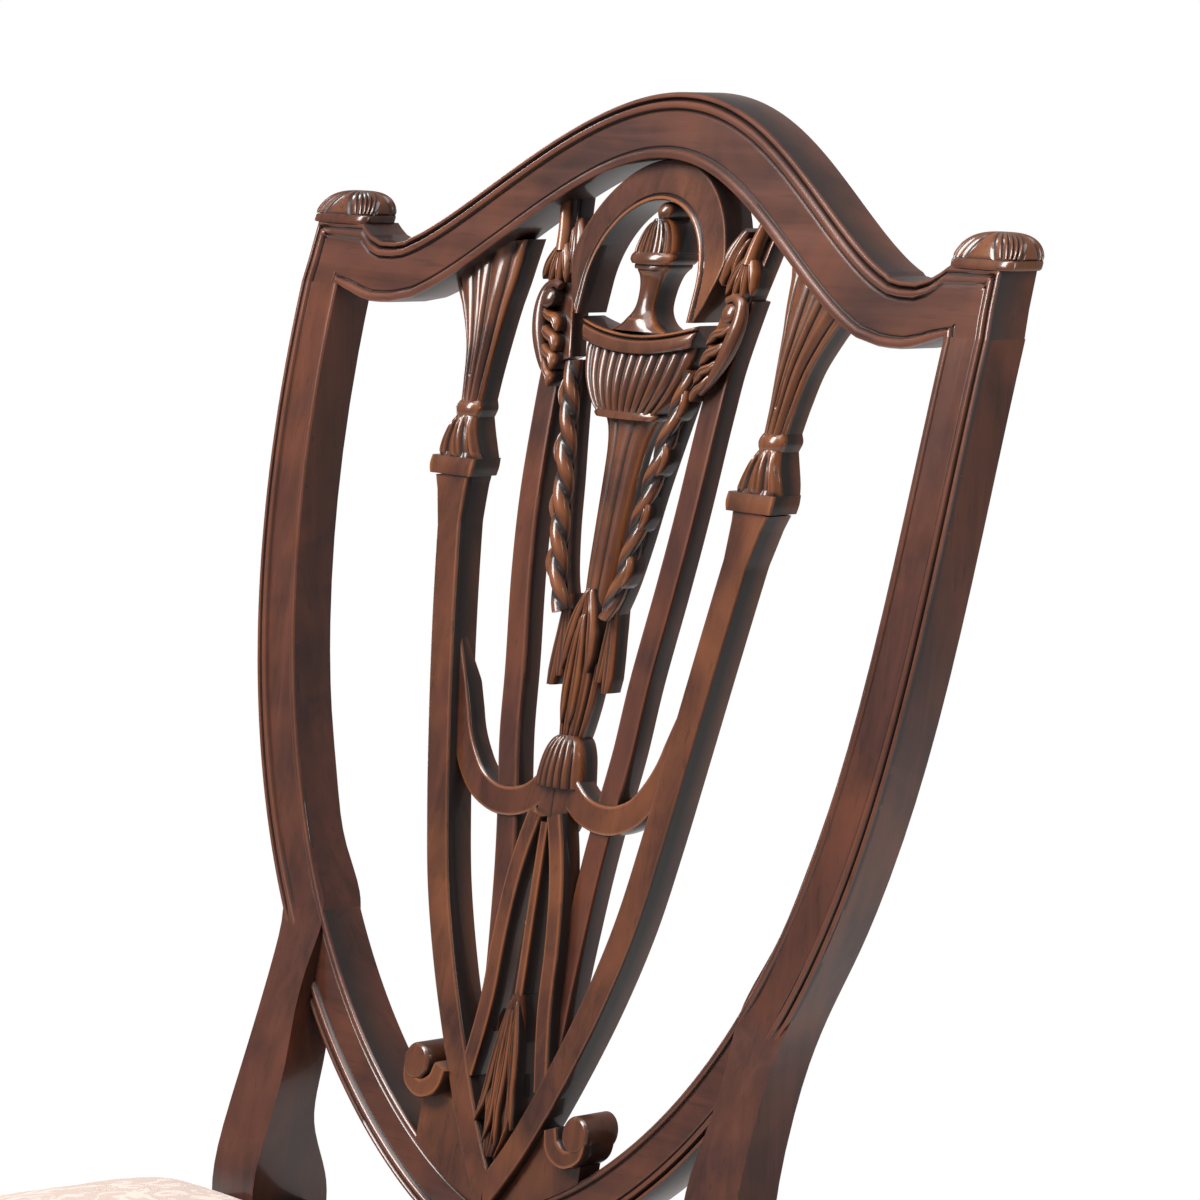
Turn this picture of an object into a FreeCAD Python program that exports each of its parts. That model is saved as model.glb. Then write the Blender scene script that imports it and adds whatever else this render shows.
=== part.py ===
import FreeCAD, Part
import math
import os

from FreeCAD import Placement, Rotation, Vector

# Shield back dining chair, millimetres. +X is the sitter's left seen from the front as right,
# -Y is the front of the chair, +Z is up, and the floor is z = 0.

os.makedirs("parts", exist_ok=True)
doc = FreeCAD.newDocument("ShieldBackChair")

# Driving dimensions

DIMENSIONS = {
    # Place of the shield's middle over the floor and behind the seat
    "shield_height": 765.0,
    "shield_back": 197.0,
    # Side view of the shield's front face: slope, bow and sweep, and its hollow in plan
    "rake_slope": 0.16424,
    "rake_bow": 0.0002136,
    "rake_sweep": 0.0000005746,
    "hollow_bow": 0.0000888,
    # Shield outline about its middle
    "shield_half_width": 250.0,
    "shield_tip_drop": 314.0,
    "opening_half_width": 221.5,
    "opening_tip_drop": 287.0,
    "outline_rise": 260.0,
    "frame_depth": 24.0,
    "stile_top_rise": 155.0,
    # Crest rail
    "crest_rise": 245.0,
    "crest_dip": 163.5,
    "crest_dip_reach": 178.0,
    "crest_width": 33.0,
    "crest_fullness": 0.714,
    "ear_half_width": 255.0,
    "ear_inner_reach": 213.0,
    "ear_band_rise": 187.0,
    "ear_top_rise": 201.0,
    # Splat: its board leans back a little less than the frame
    "splat_setback": 2.0,
    "splat_tilt": 0.0324,
    "outer_rib_depth": 16.0,
    "inner_rib_depth": 20.0,
    "inner_rib_setback": 7.0,
    "swag_setback": 6.0,
    "swag_depth": 13.0,
    "arch_setback": 1.0,
    "arch_depth": 16.0,
    "urn_setback": 2.5,
    "urn_depth": 17.0,
    "strand_depth": 14.0,
    "plinth_depth": 20.0,
    "arch_rise": 228.0,
    "arch_spring_rise": 165.0,
    "arch_half_width": 54.5,
    "arch_band": 20.0,
    "arch_leg": 13.0,
    "arch_foot_rise": 150.0,
    "rib_width": 17.0,
    "inner_rib_width": 15.0,
    "inner_rib_top_rise": 163.0,
    "knot_rise": -80.0,
    "tip_rise": -283.0,
    # Rear posts below the shield
    "post_width": 34.0,
    "post_foot_width": 26.0,
    "post_foot_depth": 28.0,
    "post_seat_half_span": 193.6,
    "post_waist_half_span": 184.5,
    "rear_foot_reach": 292.2,
    "post_seat_front": 131.0,
    "post_seat_depth": 47.0,
    # Seat frame
    "seat_rail_top": 430.0,
    "seat_rail_tall": 66.0,
    "rail_thick": 24.0,
    "seat_front": 286.0,
    "seat_half_width": 250.0,
    "front_leg_square": 42.0,
    "front_leg_ankle": 26.0,
    "ankle_height": 66.0,
    "spade_square": 36.0,
    "spade_height": 44.0,
    "foot_square": 26.0,
    "glide_thick": 4.0,
    "glide_radius": 10.0,
    "rail_setback": 2.0,
    "rear_cap_thick": 14.5,
    "rear_cap_lead": 21.0,
    "block_thick": 22.0,
    "block_reach": 62.0,
    "screw_radius": 2.2,
    "screw_head_radius": 4.4,
    "screw_length": 38.0,
    # Stretchers
    "stretcher_height": 112.0,
    "stretcher_tall": 22.0,
    "stretcher_thick": 16.0,
    "cross_stretcher_back": 20.0,
    "rear_stretcher_height": 152.0,
    # Joints
    "tenon_thick": 9.0,
    "tenon_length": 20.0,
    # Upholstery
    "web_width": 50.0,
    "web_thick": 1.2,
    "hessian_thick": 1.0,
    "soft_gap": 0.4,
    "stuffing_rise": 22.0,
    "stuffing_crown": 20.0,
    "cover_thick": 2.0,
    "cover_skirt_gap": 14.0,
    "gimp_width": 10.0,
    "gimp_thick": 2.0,
    "dust_cover_thick": 0.8,
}

sizes = doc.addObject("Spreadsheet::Sheet", "sizes")
for row, (alias, number) in enumerate(DIMENSIONS.items(), start=1):
    sizes.set(f"A{row}", alias)
    sizes.set(f"B{row}", str(number))
    sizes.setAlias(f"B{row}", alias)
doc.recompute()


def size(alias):
    """The number in the sheet under this name."""
    return float(getattr(sizes, alias))


pieces = {}


def keep(label, piece):
    """Give a finished sub-part its own label and list it for writing."""
    piece.Label = label
    pieces[label] = piece
    return piece


# Curved boards

def face_line(rise, reach=0.0):
    """Y of the shield's front face at a height over its middle and a reach to the side."""
    slope = size("rake_slope") * rise
    bow = size("rake_bow") * rise ** 2
    sweep = size("rake_sweep") * rise ** 3
    hollow = size("hollow_bow") * reach ** 2
    return size("shield_back") + slope + bow + sweep - hollow


def splat_line(rise, reach=0.0):
    """Y of the splat's front face, which leans back less than the frame."""
    return face_line(rise, reach) + size("splat_setback") + size("splat_tilt") * rise


BOARD_RISES = (280, 190, 100, 10, -80, -170, -250, -330)
BOARD_REACH = 275.0


def curved_board(name, front_line, setback, depth):
    """A board bent in plan and in side view, from which flat outlines are cut."""
    sections = []
    for rise in BOARD_RISES:
        height = size("shield_height") + rise
        front = setback + front_line(rise)
        side = setback + front_line(rise, BOARD_REACH)
        corners = [
            Vector(-BOARD_REACH, side, height),
            Vector(0, front, height),
            Vector(BOARD_REACH, side, height),
        ]
        back = [corner + Vector(0, depth, 0) for corner in corners]
        edges = [
            Part.Arc(*corners).toShape(),
            Part.makeLine(corners[2], back[2]),
            Part.Arc(back[2], back[1], back[0]).toShape(),
            Part.makeLine(back[0], corners[0]),
        ]
        sections.append(Part.Wire(edges))
    board = doc.addObject("Part::Feature", name)
    board.Shape = Part.makeLoft(sections, True, False)
    return board


frame_board = curved_board("frame_board", face_line, 0.0, size("frame_depth"))
outer_rib_board = curved_board("outer_rib_board", splat_line, 0.0, size("outer_rib_depth"))
inner_rib_board = curved_board(
    "inner_rib_board", splat_line, size("inner_rib_setback"), size("inner_rib_depth"))
swag_board = curved_board("swag_board", splat_line, size("swag_setback"), size("swag_depth"))
arch_board = curved_board("arch_board", splat_line, size("arch_setback"), size("arch_depth"))
urn_board = curved_board("urn_board", splat_line, size("urn_setback"), size("urn_depth"))
strand_board = curved_board("strand_board", splat_line, 0.0, size("strand_depth"))
plinth_board = curved_board("plinth_board", splat_line, -2.0, size("plinth_depth"))


# Flat outlines cut through a board

def to_front(point):
    """A point of a front outline, given as (reach, rise) about the shield's middle."""
    reach, rise = point
    return Vector(reach, rise, 0)


def outline_edges(runs):
    """Edges of a closed outline: each run is a smooth curve, or a line where it has two points."""
    edges = []
    for run in runs:
        points = [to_front(point) for point in run]
        if len(points) == 2:
            edges.append(Part.LineSegment(points[0], points[1]))
        else:
            curve = Part.BSplineCurve()
            curve.interpolate(points)
            edges.append(curve)
    return edges


def front_prism(name, runs):
    """An outline drawn on the front of the chair and carried right through the back."""
    sketch = doc.addObject("Sketcher::SketchObject", name + "_outline")
    sketch.Placement = Placement(
        Vector(0, 0, size("shield_height")), Rotation(Vector(1, 0, 0), 90))
    sketch.addGeometry(outline_edges(runs), False)
    prism = doc.addObject("Part::Extrusion", name + "_prism")
    prism.Base = sketch
    prism.DirMode = "Custom"
    prism.Dir = Vector(0, 1, 0)
    prism.setExpression("LengthFwd", "sizes.shield_back * 2")
    prism.Solid = True
    return prism


def cut_from_board(name, runs, board):
    """A piece whose front outline is cut from a curved board."""
    piece = doc.addObject("Part::Common", name)
    piece.Base = front_prism(name, runs)
    piece.Tool = board
    return piece


def cut(name, base, tool):
    """The base with the tool's room taken out of it."""
    piece = doc.addObject("Part::Cut", name)
    piece.Base = base
    piece.Tool = tool
    return piece


def fuse(name, shapes):
    """Several shapes of one piece joined into one solid."""
    piece = doc.addObject("Part::MultiFuse", name)
    piece.Shapes = shapes
    piece.Refine = False
    return piece


def mirrored(name, source):
    """The same piece on the other side of the chair."""
    piece = doc.addObject("Part::Mirroring", name)
    piece.Source = source
    piece.Normal = Vector(1, 0, 0)
    piece.Base = Vector(0, 0, 0)
    return piece


def box(name, length, width, height, corner):
    """A box with sizes from the sheet, its lowest corner at the place given."""
    solid = doc.addObject("Part::Box", name)
    for side, expression in (("Length", length), ("Width", width), ("Height", height)):
        solid.setExpression(side, expression)
    solid.Placement = Placement(Vector(*corner), Rotation())
    return solid


def both_sides(label, make):
    """A right-hand piece from its maker, and its mirror image on the left."""
    right = keep(label + "_right", make(label + "_right"))
    left = keep(label + "_left", mirrored(label + "_left", right))
    return left, right


# Shield outlines

def egg_half_width(rise, half_width, tip_drop, blunt, flank):
    """Half width of the shield's curve at a height: wide and upright above, closing to a tip."""
    span = size("outline_rise") + tip_drop
    share = (size("outline_rise") - rise) / span
    return half_width * max(0.0, 1.0 - share ** blunt) ** (1.0 / flank)


def outer_reach(rise):
    return egg_half_width(
        rise, size("shield_half_width"), size("shield_tip_drop"), 3.61, 1.484)


def inner_reach(rise):
    return egg_half_width(
        rise, size("opening_half_width"), size("opening_tip_drop"), 3.53, 1.505)


JOINT_REACH = 156.0


def rise_where(reach_at, reach):
    """Height at which a shield curve has come in to a given reach."""
    high = size("stile_top_rise")
    low = -size("shield_tip_drop")
    for _ in range(60):
        middle = (high + low) / 2
        if reach_at(middle) > reach:
            high = middle
        else:
            low = middle
    return (high + low) / 2


def curve_points(reach_at, reaches):
    """Points of a shield curve at the given reaches from the middle."""
    return [(reach, rise_where(reach_at, abs(reach))) for reach in reaches]


# Lower rail of the shield, tenoned into both posts

OUTER_REACHES = (JOINT_REACH, 135, 112, 88, 60, 30)
INNER_REACHES = (JOINT_REACH, 135, 112, 88, 60, 30)


def base_rail_runs():
    outer = curve_points(outer_reach, OUTER_REACHES)
    inner = curve_points(inner_reach, INNER_REACHES)
    outer_tip = (0, -size("shield_tip_drop"))
    inner_tip = (0, -size("opening_tip_drop"))
    mirror_outer = [(-reach, rise) for reach, rise in reversed(outer)]
    mirror_inner = [(-reach, rise) for reach, rise in reversed(inner)]
    return [
        outer + [outer_tip],
        [outer_tip] + mirror_outer,
        [mirror_outer[-1], (-JOINT_REACH, inner[0][1])],
        [(-reach, rise) for reach, rise in inner] + [inner_tip],
        [inner_tip] + inner[::-1],
        [inner[0], outer[0]],
    ]


joint_top = rise_where(inner_reach, JOINT_REACH)
joint_bottom = rise_where(outer_reach, JOINT_REACH)
joint_middle = (joint_top + joint_bottom) / 2
tenon_front = face_line(joint_middle, JOINT_REACH) + (size("frame_depth") - size("tenon_thick")) / 2
TENON_SHOULDER = 8.0

base_tenons = box(
    "base_rail_tenons",
    f"2 * ({JOINT_REACH} + sizes.tenon_length)",
    "sizes.tenon_thick",
    f"{joint_top - joint_bottom - 2 * TENON_SHOULDER}",
    (-(JOINT_REACH + size("tenon_length")), tenon_front,
     size("shield_height") + joint_bottom + TENON_SHOULDER),
)
base_rail_plain = cut_from_board("base_rail_plain", base_rail_runs(), frame_board)
between_posts = box(
    "between_posts", f"2 * {JOINT_REACH}", "400", "200",
    (-JOINT_REACH, 0, size("shield_height") + joint_bottom - 60),
)
end_tenons = cut("end_tenons", base_tenons, between_posts)


# Crest rail with its two ears

def crest_centre(reach):
    share = 0.5 + 0.5 * math.cos(math.pi * reach / size("crest_dip_reach"))
    lift = (size("crest_rise") - size("crest_dip")) * share ** size("crest_fullness")
    return size("crest_dip") + lift


def crest_edge(reach, side):
    """A point of the crest's edge: half its width out from the centre line, square to it."""
    step = 0.5
    fall = (crest_centre(reach + step) - crest_centre(max(reach - step, 0.0))) / (2 * step)
    half = size("crest_width") / 2
    length = math.hypot(1.0, fall)
    return reach - side * half * fall / length, crest_centre(reach) + side * half / length


CREST_STATIONS = (0, 22, 44, 66, 88, 110, 132, 152, 168)


def crest_runs():
    dip = size("crest_dip")
    half = size("crest_width") / 2
    ear = size("ear_half_width")
    band = size("ear_band_rise")
    top = size("ear_top_rise")
    inner_ear = size("ear_inner_reach")
    stile_top = size("stile_top_rise")
    inner_stile = inner_reach(stile_top)
    outer_stile = outer_reach(stile_top)
    upper = [(0, size("crest_rise") + half)]
    upper += [crest_edge(reach, 1) for reach in CREST_STATIONS[1:]]
    lower = [(0, size("crest_rise") - half)]
    lower += [crest_edge(reach, -1) for reach in CREST_STATIONS[1:]]
    ear_foot = (inner_ear, band)
    scoop = dip + half - 1.5
    upper += [
        (inner_ear - 31, scoop + 0.3), (inner_ear - 18, scoop), (inner_ear - 8, scoop + 3.5),
        ear_foot,
    ]
    ear_dome = [
        ear_foot,
        (inner_ear + 3, top - 5),
        ((inner_ear + ear) / 2, top),
        (ear - 4, top - 4),
        (ear, band + 3),
    ]
    lower += [(196, dip - half + 0.5), (inner_stile, stile_top)]
    right = [
        upper,
        ear_dome,
        [(ear, band + 3), (ear, band)],
        [(ear, band), (outer_reach(band), band)],
        [(outer_reach(band), band), (outer_stile, stile_top)],
        [(outer_stile, stile_top), (inner_stile, stile_top)],
        lower[::-1],
    ]
    left = [[(-reach, rise) for reach, rise in reversed(run)] for run in reversed(right)]
    return right + left


post_tenon_height = 16.0
crest_plain = cut_from_board("crest_plain", crest_runs(), frame_board)
crest_sockets = []
for side_name, sign in (("left", -1), ("right", 1)):
    stile_middle = (inner_reach(size("stile_top_rise")) + outer_reach(size("stile_top_rise"))) / 2
    socket_front = face_line(size("stile_top_rise"), stile_middle) + 7.5
    crest_sockets.append(box(
        f"crest_socket_{side_name}", "16", "sizes.tenon_thick", f"{post_tenon_height}",
        (sign * stile_middle - 8, socket_front, size("shield_height") + size("stile_top_rise")),
    ))
crest_with_left_socket = cut("crest_with_left_socket", crest_plain, crest_sockets[0])
crest_socketed = cut("crest_socketed", crest_with_left_socket, crest_sockets[1])

RIB_TENON_LOW = 160.0
rib_tenon_y = splat_line(RIB_TENON_LOW) + (size("outer_rib_depth") - size("tenon_thick")) / 2


def rib_tenon(name, low_reach):
    """Tenon on an outer rib's head, up into the crest rail."""
    return box(
        name, "14", "sizes.tenon_thick", "26",
        (low_reach, rib_tenon_y, size("shield_height") + RIB_TENON_LOW))


rib_tenon_right = rib_tenon("rib_tenon_right", 108.0)
rib_tenon_left = rib_tenon("rib_tenon_left", -122.0)
crest_half_mortised = cut("crest_half_mortised", crest_socketed, rib_tenon_right)
crest_rail = keep("crest_rail", cut("crest_rail", crest_half_mortised, rib_tenon_left))

# Rear posts: each is the shield's stile, the post below it and the rear leg in one piece

def post_sections():
    """Sections of the right post from the floor up: height, inner, outer, front and rear."""
    shield = size("shield_height")
    foot_rear = size("rear_foot_reach")
    foot_front = foot_rear - size("post_foot_depth")
    seat_out = size("post_seat_half_span")
    seat_in = seat_out - size("post_width")
    foot_out = seat_out + 1
    foot_in = foot_out - size("post_foot_width")
    seat_front = size("post_seat_front")
    seat_rear = seat_front + size("post_seat_depth")
    rail_top = size("seat_rail_top")
    rail_low = rail_top - size("seat_rail_tall")
    sweep = foot_front - seat_front
    glide = size("glide_thick")
    sections = [
        (glide, foot_in, foot_out, foot_front, foot_rear),
        (0.17 * rail_low, foot_in - 1, foot_out, seat_front + 0.70 * sweep, foot_rear - 37),
        (0.38 * rail_low, foot_in - 3, foot_out, seat_front + 0.39 * sweep, foot_rear - 69),
        (0.62 * rail_low, foot_in - 5, foot_out - 1, seat_front + 0.155 * sweep, foot_rear - 93),
        (0.84 * rail_low, seat_in + 1, seat_out, seat_front + 0.035 * sweep, seat_rear + 4),
        (rail_low, seat_in, seat_out, seat_front, seat_rear),
        (rail_low + 33, seat_in, seat_out, seat_front, seat_rear),
        (rail_top, seat_in, seat_out, seat_front, seat_rear),
        (shield - 310, seat_in, seat_out, seat_front - 1, seat_rear + 1),
    ]
    waist_out = size("post_waist_half_span")
    waist_in = JOINT_REACH
    for rise, inner, outer, front, rear in (
        (-275, seat_in - 5, seat_out - 4, 135.0, 166.0),
        (-245, waist_in - 4, waist_out + 1.5, 143.0, 169.0),
        (-213, waist_in, waist_out, 153.5, 179.0),
        (-188, waist_in, waist_out + 0.5, 162.5, 188.0),
    ):
        sections.append((shield + rise, inner, outer, front, rear))
    sections.append((
        shield + joint_top, JOINT_REACH, outer_reach(joint_top),
        face_line(joint_top, 170), face_line(joint_top, 170) + 25,
    ))
    for rise in (-135, -105, -65, -20, 40, 100, size("stile_top_rise")):
        inner = inner_reach(rise)
        outer = outer_reach(rise)
        front = face_line(rise, (inner + outer) / 2)
        sections.append((shield + rise, inner, outer, front, front + size("frame_depth")))
    return sections


def section_corners(height, x_low, x_high, y_low, y_high):
    return [
        Vector(x_low, y_low, height), Vector(x_high, y_low, height),
        Vector(x_high, y_high, height), Vector(x_low, y_high, height),
    ]


def tapered(name, sections):
    """A solid with straight sides through level sections, each a list of corners."""
    solid = doc.addObject("Part::Feature", name)
    wires = [Part.makePolygon(corners + corners[:1]) for corners in sections]
    solid.Shape = Part.makeLoft(wires, True, True)
    return solid


def swept_post(name, sections):
    """A solid whose four long edges are smooth curves through level rectangles."""
    corner_sets = [section_corners(*section) for section in sections]
    heights = [section[0] for section in sections]
    curves = []
    for corner in range(4):
        curve = Part.BSplineCurve()
        curve.interpolate(
            Points=[corners[corner] for corners in corner_sets], Parameters=heights)
        curves.append(curve.toShape())
    faces = [
        Part.makeRuledSurface(curves[corner], curves[(corner + 1) % 4]) for corner in range(4)
    ]
    for corners in (corner_sets[0], corner_sets[-1]):
        faces.append(Part.Face(Part.makePolygon(corners + corners[:1])))
    shell = Part.makeShell(faces)
    shell.sewShape()
    body = Part.makeSolid(shell)
    if body.Volume < 0:
        body.reverse()
    solid = doc.addObject("Part::Feature", name)
    solid.Shape = body
    return solid


post_plain = swept_post("post_plain", post_sections())

# Leg stretchers run into the posts and the front legs on square tenons

STRETCHER_TENON_TALL = 12.0
front_leg_out = size("seat_half_width")
front_leg_in = front_leg_out - size("front_leg_square")
front_leg_middle = (front_leg_in + front_leg_out) / 2
leg_front_y = -size("seat_front")
leg_middle_y = leg_front_y + size("front_leg_square") / 2
rear_leg_middle = size("post_seat_half_span") - size("post_width") / 2
rear_leg_middle_y = 222.0


def side_bar(name, thick, low, tall, extend):
    """A bar along the side of the chair from the front leg's middle to the rear leg."""
    start = Vector(front_leg_middle, leg_middle_y, low)
    end = Vector(rear_leg_middle + 4, rear_leg_middle_y, low)
    run = end - start
    angle = math.degrees(math.atan2(run.y, run.x))
    bar = doc.addObject("Part::Box", name)
    bar.Length = run.Length + extend
    bar.Width = thick
    bar.Height = tall
    turn = Rotation(Vector(0, 0, 1), angle)
    shift = turn.multVec(Vector(0, -thick / 2, 0))
    bar.Placement = Placement(start + shift, turn)
    return bar


stretcher_low = size("stretcher_height") - size("stretcher_tall") / 2
side_bar_full = side_bar(
    "side_bar_full", size("stretcher_thick"), stretcher_low, size("stretcher_tall"), 0.0)
side_bar_tenon = side_bar(
    "side_bar_tenon", size("tenon_thick"),
    size("stretcher_height") - STRETCHER_TENON_TALL / 2, STRETCHER_TENON_TALL, 0.0)

rear_bar_half = size("post_seat_half_span") - 12
rear_bar_y = 200.0
rear_bar_full = box(
    "rear_bar_full", f"2 * {rear_bar_half}", "sizes.stretcher_thick", "sizes.stretcher_tall",
    (-rear_bar_half, rear_bar_y, size("rear_stretcher_height") - size("stretcher_tall") / 2))
rear_bar_tenon = box(
    "rear_bar_tenon", f"2 * {rear_bar_half}", "sizes.tenon_thick", f"{STRETCHER_TENON_TALL}",
    (-rear_bar_half, rear_bar_y + (size("stretcher_thick") - size("tenon_thick")) / 2,
     size("rear_stretcher_height") - STRETCHER_TENON_TALL / 2))

# Seat rails

rail_low = size("seat_rail_top") - size("seat_rail_tall")
rail_tenon_low = rail_low + 10.0
RAIL_TENON_TALL = 40.0
rear_rail_y = size("post_seat_front") + 9.0
seat_post_in = size("post_seat_half_span") - size("post_width")
front_rail_y = leg_front_y + size("rail_setback")


def level_body(label, corners, low, height_alias):
    """A body padded up from an outline drawn on a level plane."""
    body = doc.addObject("PartDesign::Body", label + "_body")
    sketch = body.newObject("Sketcher::SketchObject", label + "_plan")
    plane = [item for item in body.Origin.OriginFeatures if item.Role == "XY_Plane"][0]
    sketch.AttachmentSupport = [(plane, "")]
    sketch.MapMode = "FlatFace"
    sketch.AttachmentOffset = Placement(Vector(0, 0, low), Rotation())
    points = [Vector(x, y, 0) for x, y in corners]
    lines = [
        Part.LineSegment(point, points[(index + 1) % len(points)])
        for index, point in enumerate(points)
    ]
    sketch.addGeometry(lines, False)
    pad = body.newObject("PartDesign::Pad", label + "_pad")
    pad.Profile = sketch
    pad.setExpression("Length", height_alias)
    body.Tip = pad
    return body


def bar_corners(x_low, x_high, y_low, y_high):
    return [(x_low, y_low), (x_high, y_low), (x_high, y_high), (x_low, y_high)]


front_rail_plain = level_body(
    "front_rail_plain",
    bar_corners(-front_leg_in, front_leg_in, front_rail_y, front_rail_y + size("rail_thick")),
    rail_low, "sizes.seat_rail_tall")
front_tenon_reach = front_leg_in + size("tenon_length")
front_rail_tenon = box(
    "front_rail_tenon", f"2 * {front_tenon_reach}", "sizes.tenon_thick", f"{RAIL_TENON_TALL}",
    (-front_tenon_reach, front_rail_y + 7.5, rail_tenon_low))
keep("front_seat_rail", fuse("front_seat_rail", [front_rail_plain, front_rail_tenon]))

rear_rail_plain = level_body(
    "rear_rail_plain",
    bar_corners(-seat_post_in, seat_post_in, rear_rail_y, rear_rail_y + size("rail_thick")),
    rail_low, "sizes.seat_rail_tall")
rear_tenon_reach = seat_post_in + size("tenon_length")
rear_rail_tenon = box(
    "rear_rail_tenon", f"2 * {rear_tenon_reach}", "sizes.tenon_thick", f"{RAIL_TENON_TALL}",
    (-rear_tenon_reach, rear_rail_y + 7.5, rail_tenon_low))
post_plain_left = mirrored("post_plain_left", post_plain)
rear_rail_right_end = cut("rear_rail_right_end", rear_rail_plain, post_plain)
rear_rail_ends = cut("rear_rail_ends", rear_rail_right_end, post_plain_left)
keep("rear_seat_rail", fuse("rear_seat_rail", [rear_rail_ends, rear_rail_tenon]))

leg_rear_y = leg_front_y + size("front_leg_square")
side_front_out = front_leg_out - size("rail_setback")
side_rear_out = size("post_seat_half_span") - size("rail_setback")
side_rail_corners = [
    (side_front_out - size("rail_thick"), leg_rear_y), (side_front_out, leg_rear_y),
    (side_rear_out, size("post_seat_front")),
    (side_rear_out - size("rail_thick"), size("post_seat_front")),
]
SIDE_TENON_LENGTH = 14.0
side_lean = (side_rear_out - side_front_out) / (size("post_seat_front") - leg_rear_y)


def side_tenon_corners():
    """The side rail's tenon follows the rail's slant through both shoulders."""
    first = leg_rear_y - SIDE_TENON_LENGTH
    last = size("post_seat_front") + SIDE_TENON_LENGTH
    inner = side_front_out - size("rail_thick") + 7.5

    def across(y):
        return inner + side_lean * (y - leg_rear_y)

    wide = size("tenon_thick")
    return [
        (across(first), first), (across(first) + wide, first),
        (across(last) + wide, last), (across(last), last),
    ]


SIDE_TENON_RAISE = 14.0


def make_side_rail(name):
    rail = level_body(name + "_plain", side_rail_corners, rail_low, "sizes.seat_rail_tall")
    shouldered = cut(name + "_shouldered", rail, post_plain)
    return fuse(name, [shouldered, side_rail_tenon])


side_rail_tenon = level_body(
    "side_rail_tenon", side_tenon_corners(), rail_tenon_low + SIDE_TENON_RAISE, "26")
both_sides("side_seat_rail", make_side_rail)

# Front legs: square, tapering to a spade foot

def front_leg_sections():
    full = size("front_leg_square")
    half = full / 2
    top = size("seat_rail_top")
    outer = front_leg_out
    front = leg_front_y

    def square(height, wide):
        inset = half - wide / 2
        return section_corners(
            height, outer - inset - wide, outer - inset, front + inset, front + inset + wide)

    ankle = size("front_leg_ankle")
    spade = size("spade_square")
    foot = size("foot_square")
    return [
        square(size("glide_thick"), foot),
        square(size("spade_height"), spade),
        square(size("spade_height") + 8, spade - 3),
        square(size("ankle_height"), ankle),
        square(rail_low, full),
        square(top, full),
    ]


front_leg_plain = tapered("front_leg_plain", front_leg_sections())


def make_front_leg(name):
    without_front = cut(name + "_front_mortise", front_leg_plain, front_rail_tenon)
    without_side = cut(name + "_side_mortise", without_front, side_rail_tenon)
    drilled = cut(name + "_drilled", without_side, screw_holes["front"])
    return cut(name, drilled, side_bar_tenon)




def make_rear_post(name):
    post = cut(name + "_rear_mortise", post_plain, rear_rail_tenon)
    post = cut(name + "_side_mortise", post, side_rail_tenon)
    post = cut(name + "_stretcher_mortise", post, side_bar_tenon)
    post = cut(name + "_back_mortise", post, rear_bar_tenon)
    post = cut(name + "_shield_mortise", post, end_tenons)
    post = cut(name + "_shield_shoulder", post, base_rail_plain)
    post = cut(name + "_drilled", post, screw_holes["rear"])
    return fuse(name, [post, crest_sockets[1]])




def make_side_stretcher(name):
    shoulder_front = cut(name + "_front_shoulder", side_bar_full, front_leg_plain)
    shoulder_rear = cut(name + "_rear_shoulder", shoulder_front, post_plain)
    return fuse(name, [shoulder_rear, side_bar_tenon])


side_stretchers = both_sides("side_stretcher", make_side_stretcher)

# Cross stretcher between the side stretchers, and the rear stretcher

cross_half = front_leg_middle + (rear_leg_middle + 4 - front_leg_middle) * (
    (size("cross_stretcher_back") - leg_middle_y) / (rear_leg_middle_y - leg_middle_y))
cross_bar = box(
    "cross_bar", f"2 * {cross_half}", "sizes.stretcher_thick", "sizes.stretcher_tall",
    (-cross_half, size("cross_stretcher_back") - size("stretcher_thick") / 2, stretcher_low))
cross_without_right = cut("cross_without_right", cross_bar, side_stretchers[1])
keep("cross_stretcher", cut("cross_stretcher", cross_without_right, side_stretchers[0]))

rear_bar_without_right = cut("rear_bar_without_right", rear_bar_full, post_plain)
rear_bar_without_both = cut("rear_bar_without_both", rear_bar_without_right, post_plain_left)
keep("rear_stretcher", fuse("rear_stretcher", [rear_bar_without_both, rear_bar_tenon]))

keep("shield_base_rail", fuse("shield_base_rail", [base_rail_plain, end_tenons]))

# Splat: arch under the crest

def ellipse_points(half_width, base, height, start, end, count):
    """Points along an ellipse between two angles from the right side, in degrees."""
    points = []
    for index in range(count):
        angle = math.radians(start + (end - start) * index / (count - 1))
        points.append((half_width * math.cos(angle), base + height * math.sin(angle)))
    return points


def arch_runs():
    spring = size("arch_spring_rise")
    half = size("arch_half_width")
    inner_half = half - size("arch_leg")
    foot = size("arch_foot_rise")
    rise_limit = crest_centre(0) - size("crest_width") / 2
    outer_rise = min(size("arch_rise"), rise_limit) - spring
    inner_rise = outer_rise - size("arch_band")
    outer = ellipse_points(half, spring, outer_rise, 0, 180, 9)
    inner = ellipse_points(inner_half, spring, inner_rise, 180, 0, 9)
    return [
        outer,
        [outer[-1], (-half, foot)],
        [(-half, foot), (-inner_half, foot)],
        [(-inner_half, foot), inner[0]],
        inner,
        [inner[-1], (inner_half, foot)],
        [(inner_half, foot), (half, foot)],
        [(half, foot), outer[0]],
    ]


arch_whole = cut_from_board("arch_whole", arch_runs(), arch_board)
keep("splat_arch", cut("splat_arch", arch_whole, crest_plain))

# Urn: lid, neck, sagging rim, bowl, fluted body, drapery and husk, carved from one piece

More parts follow.
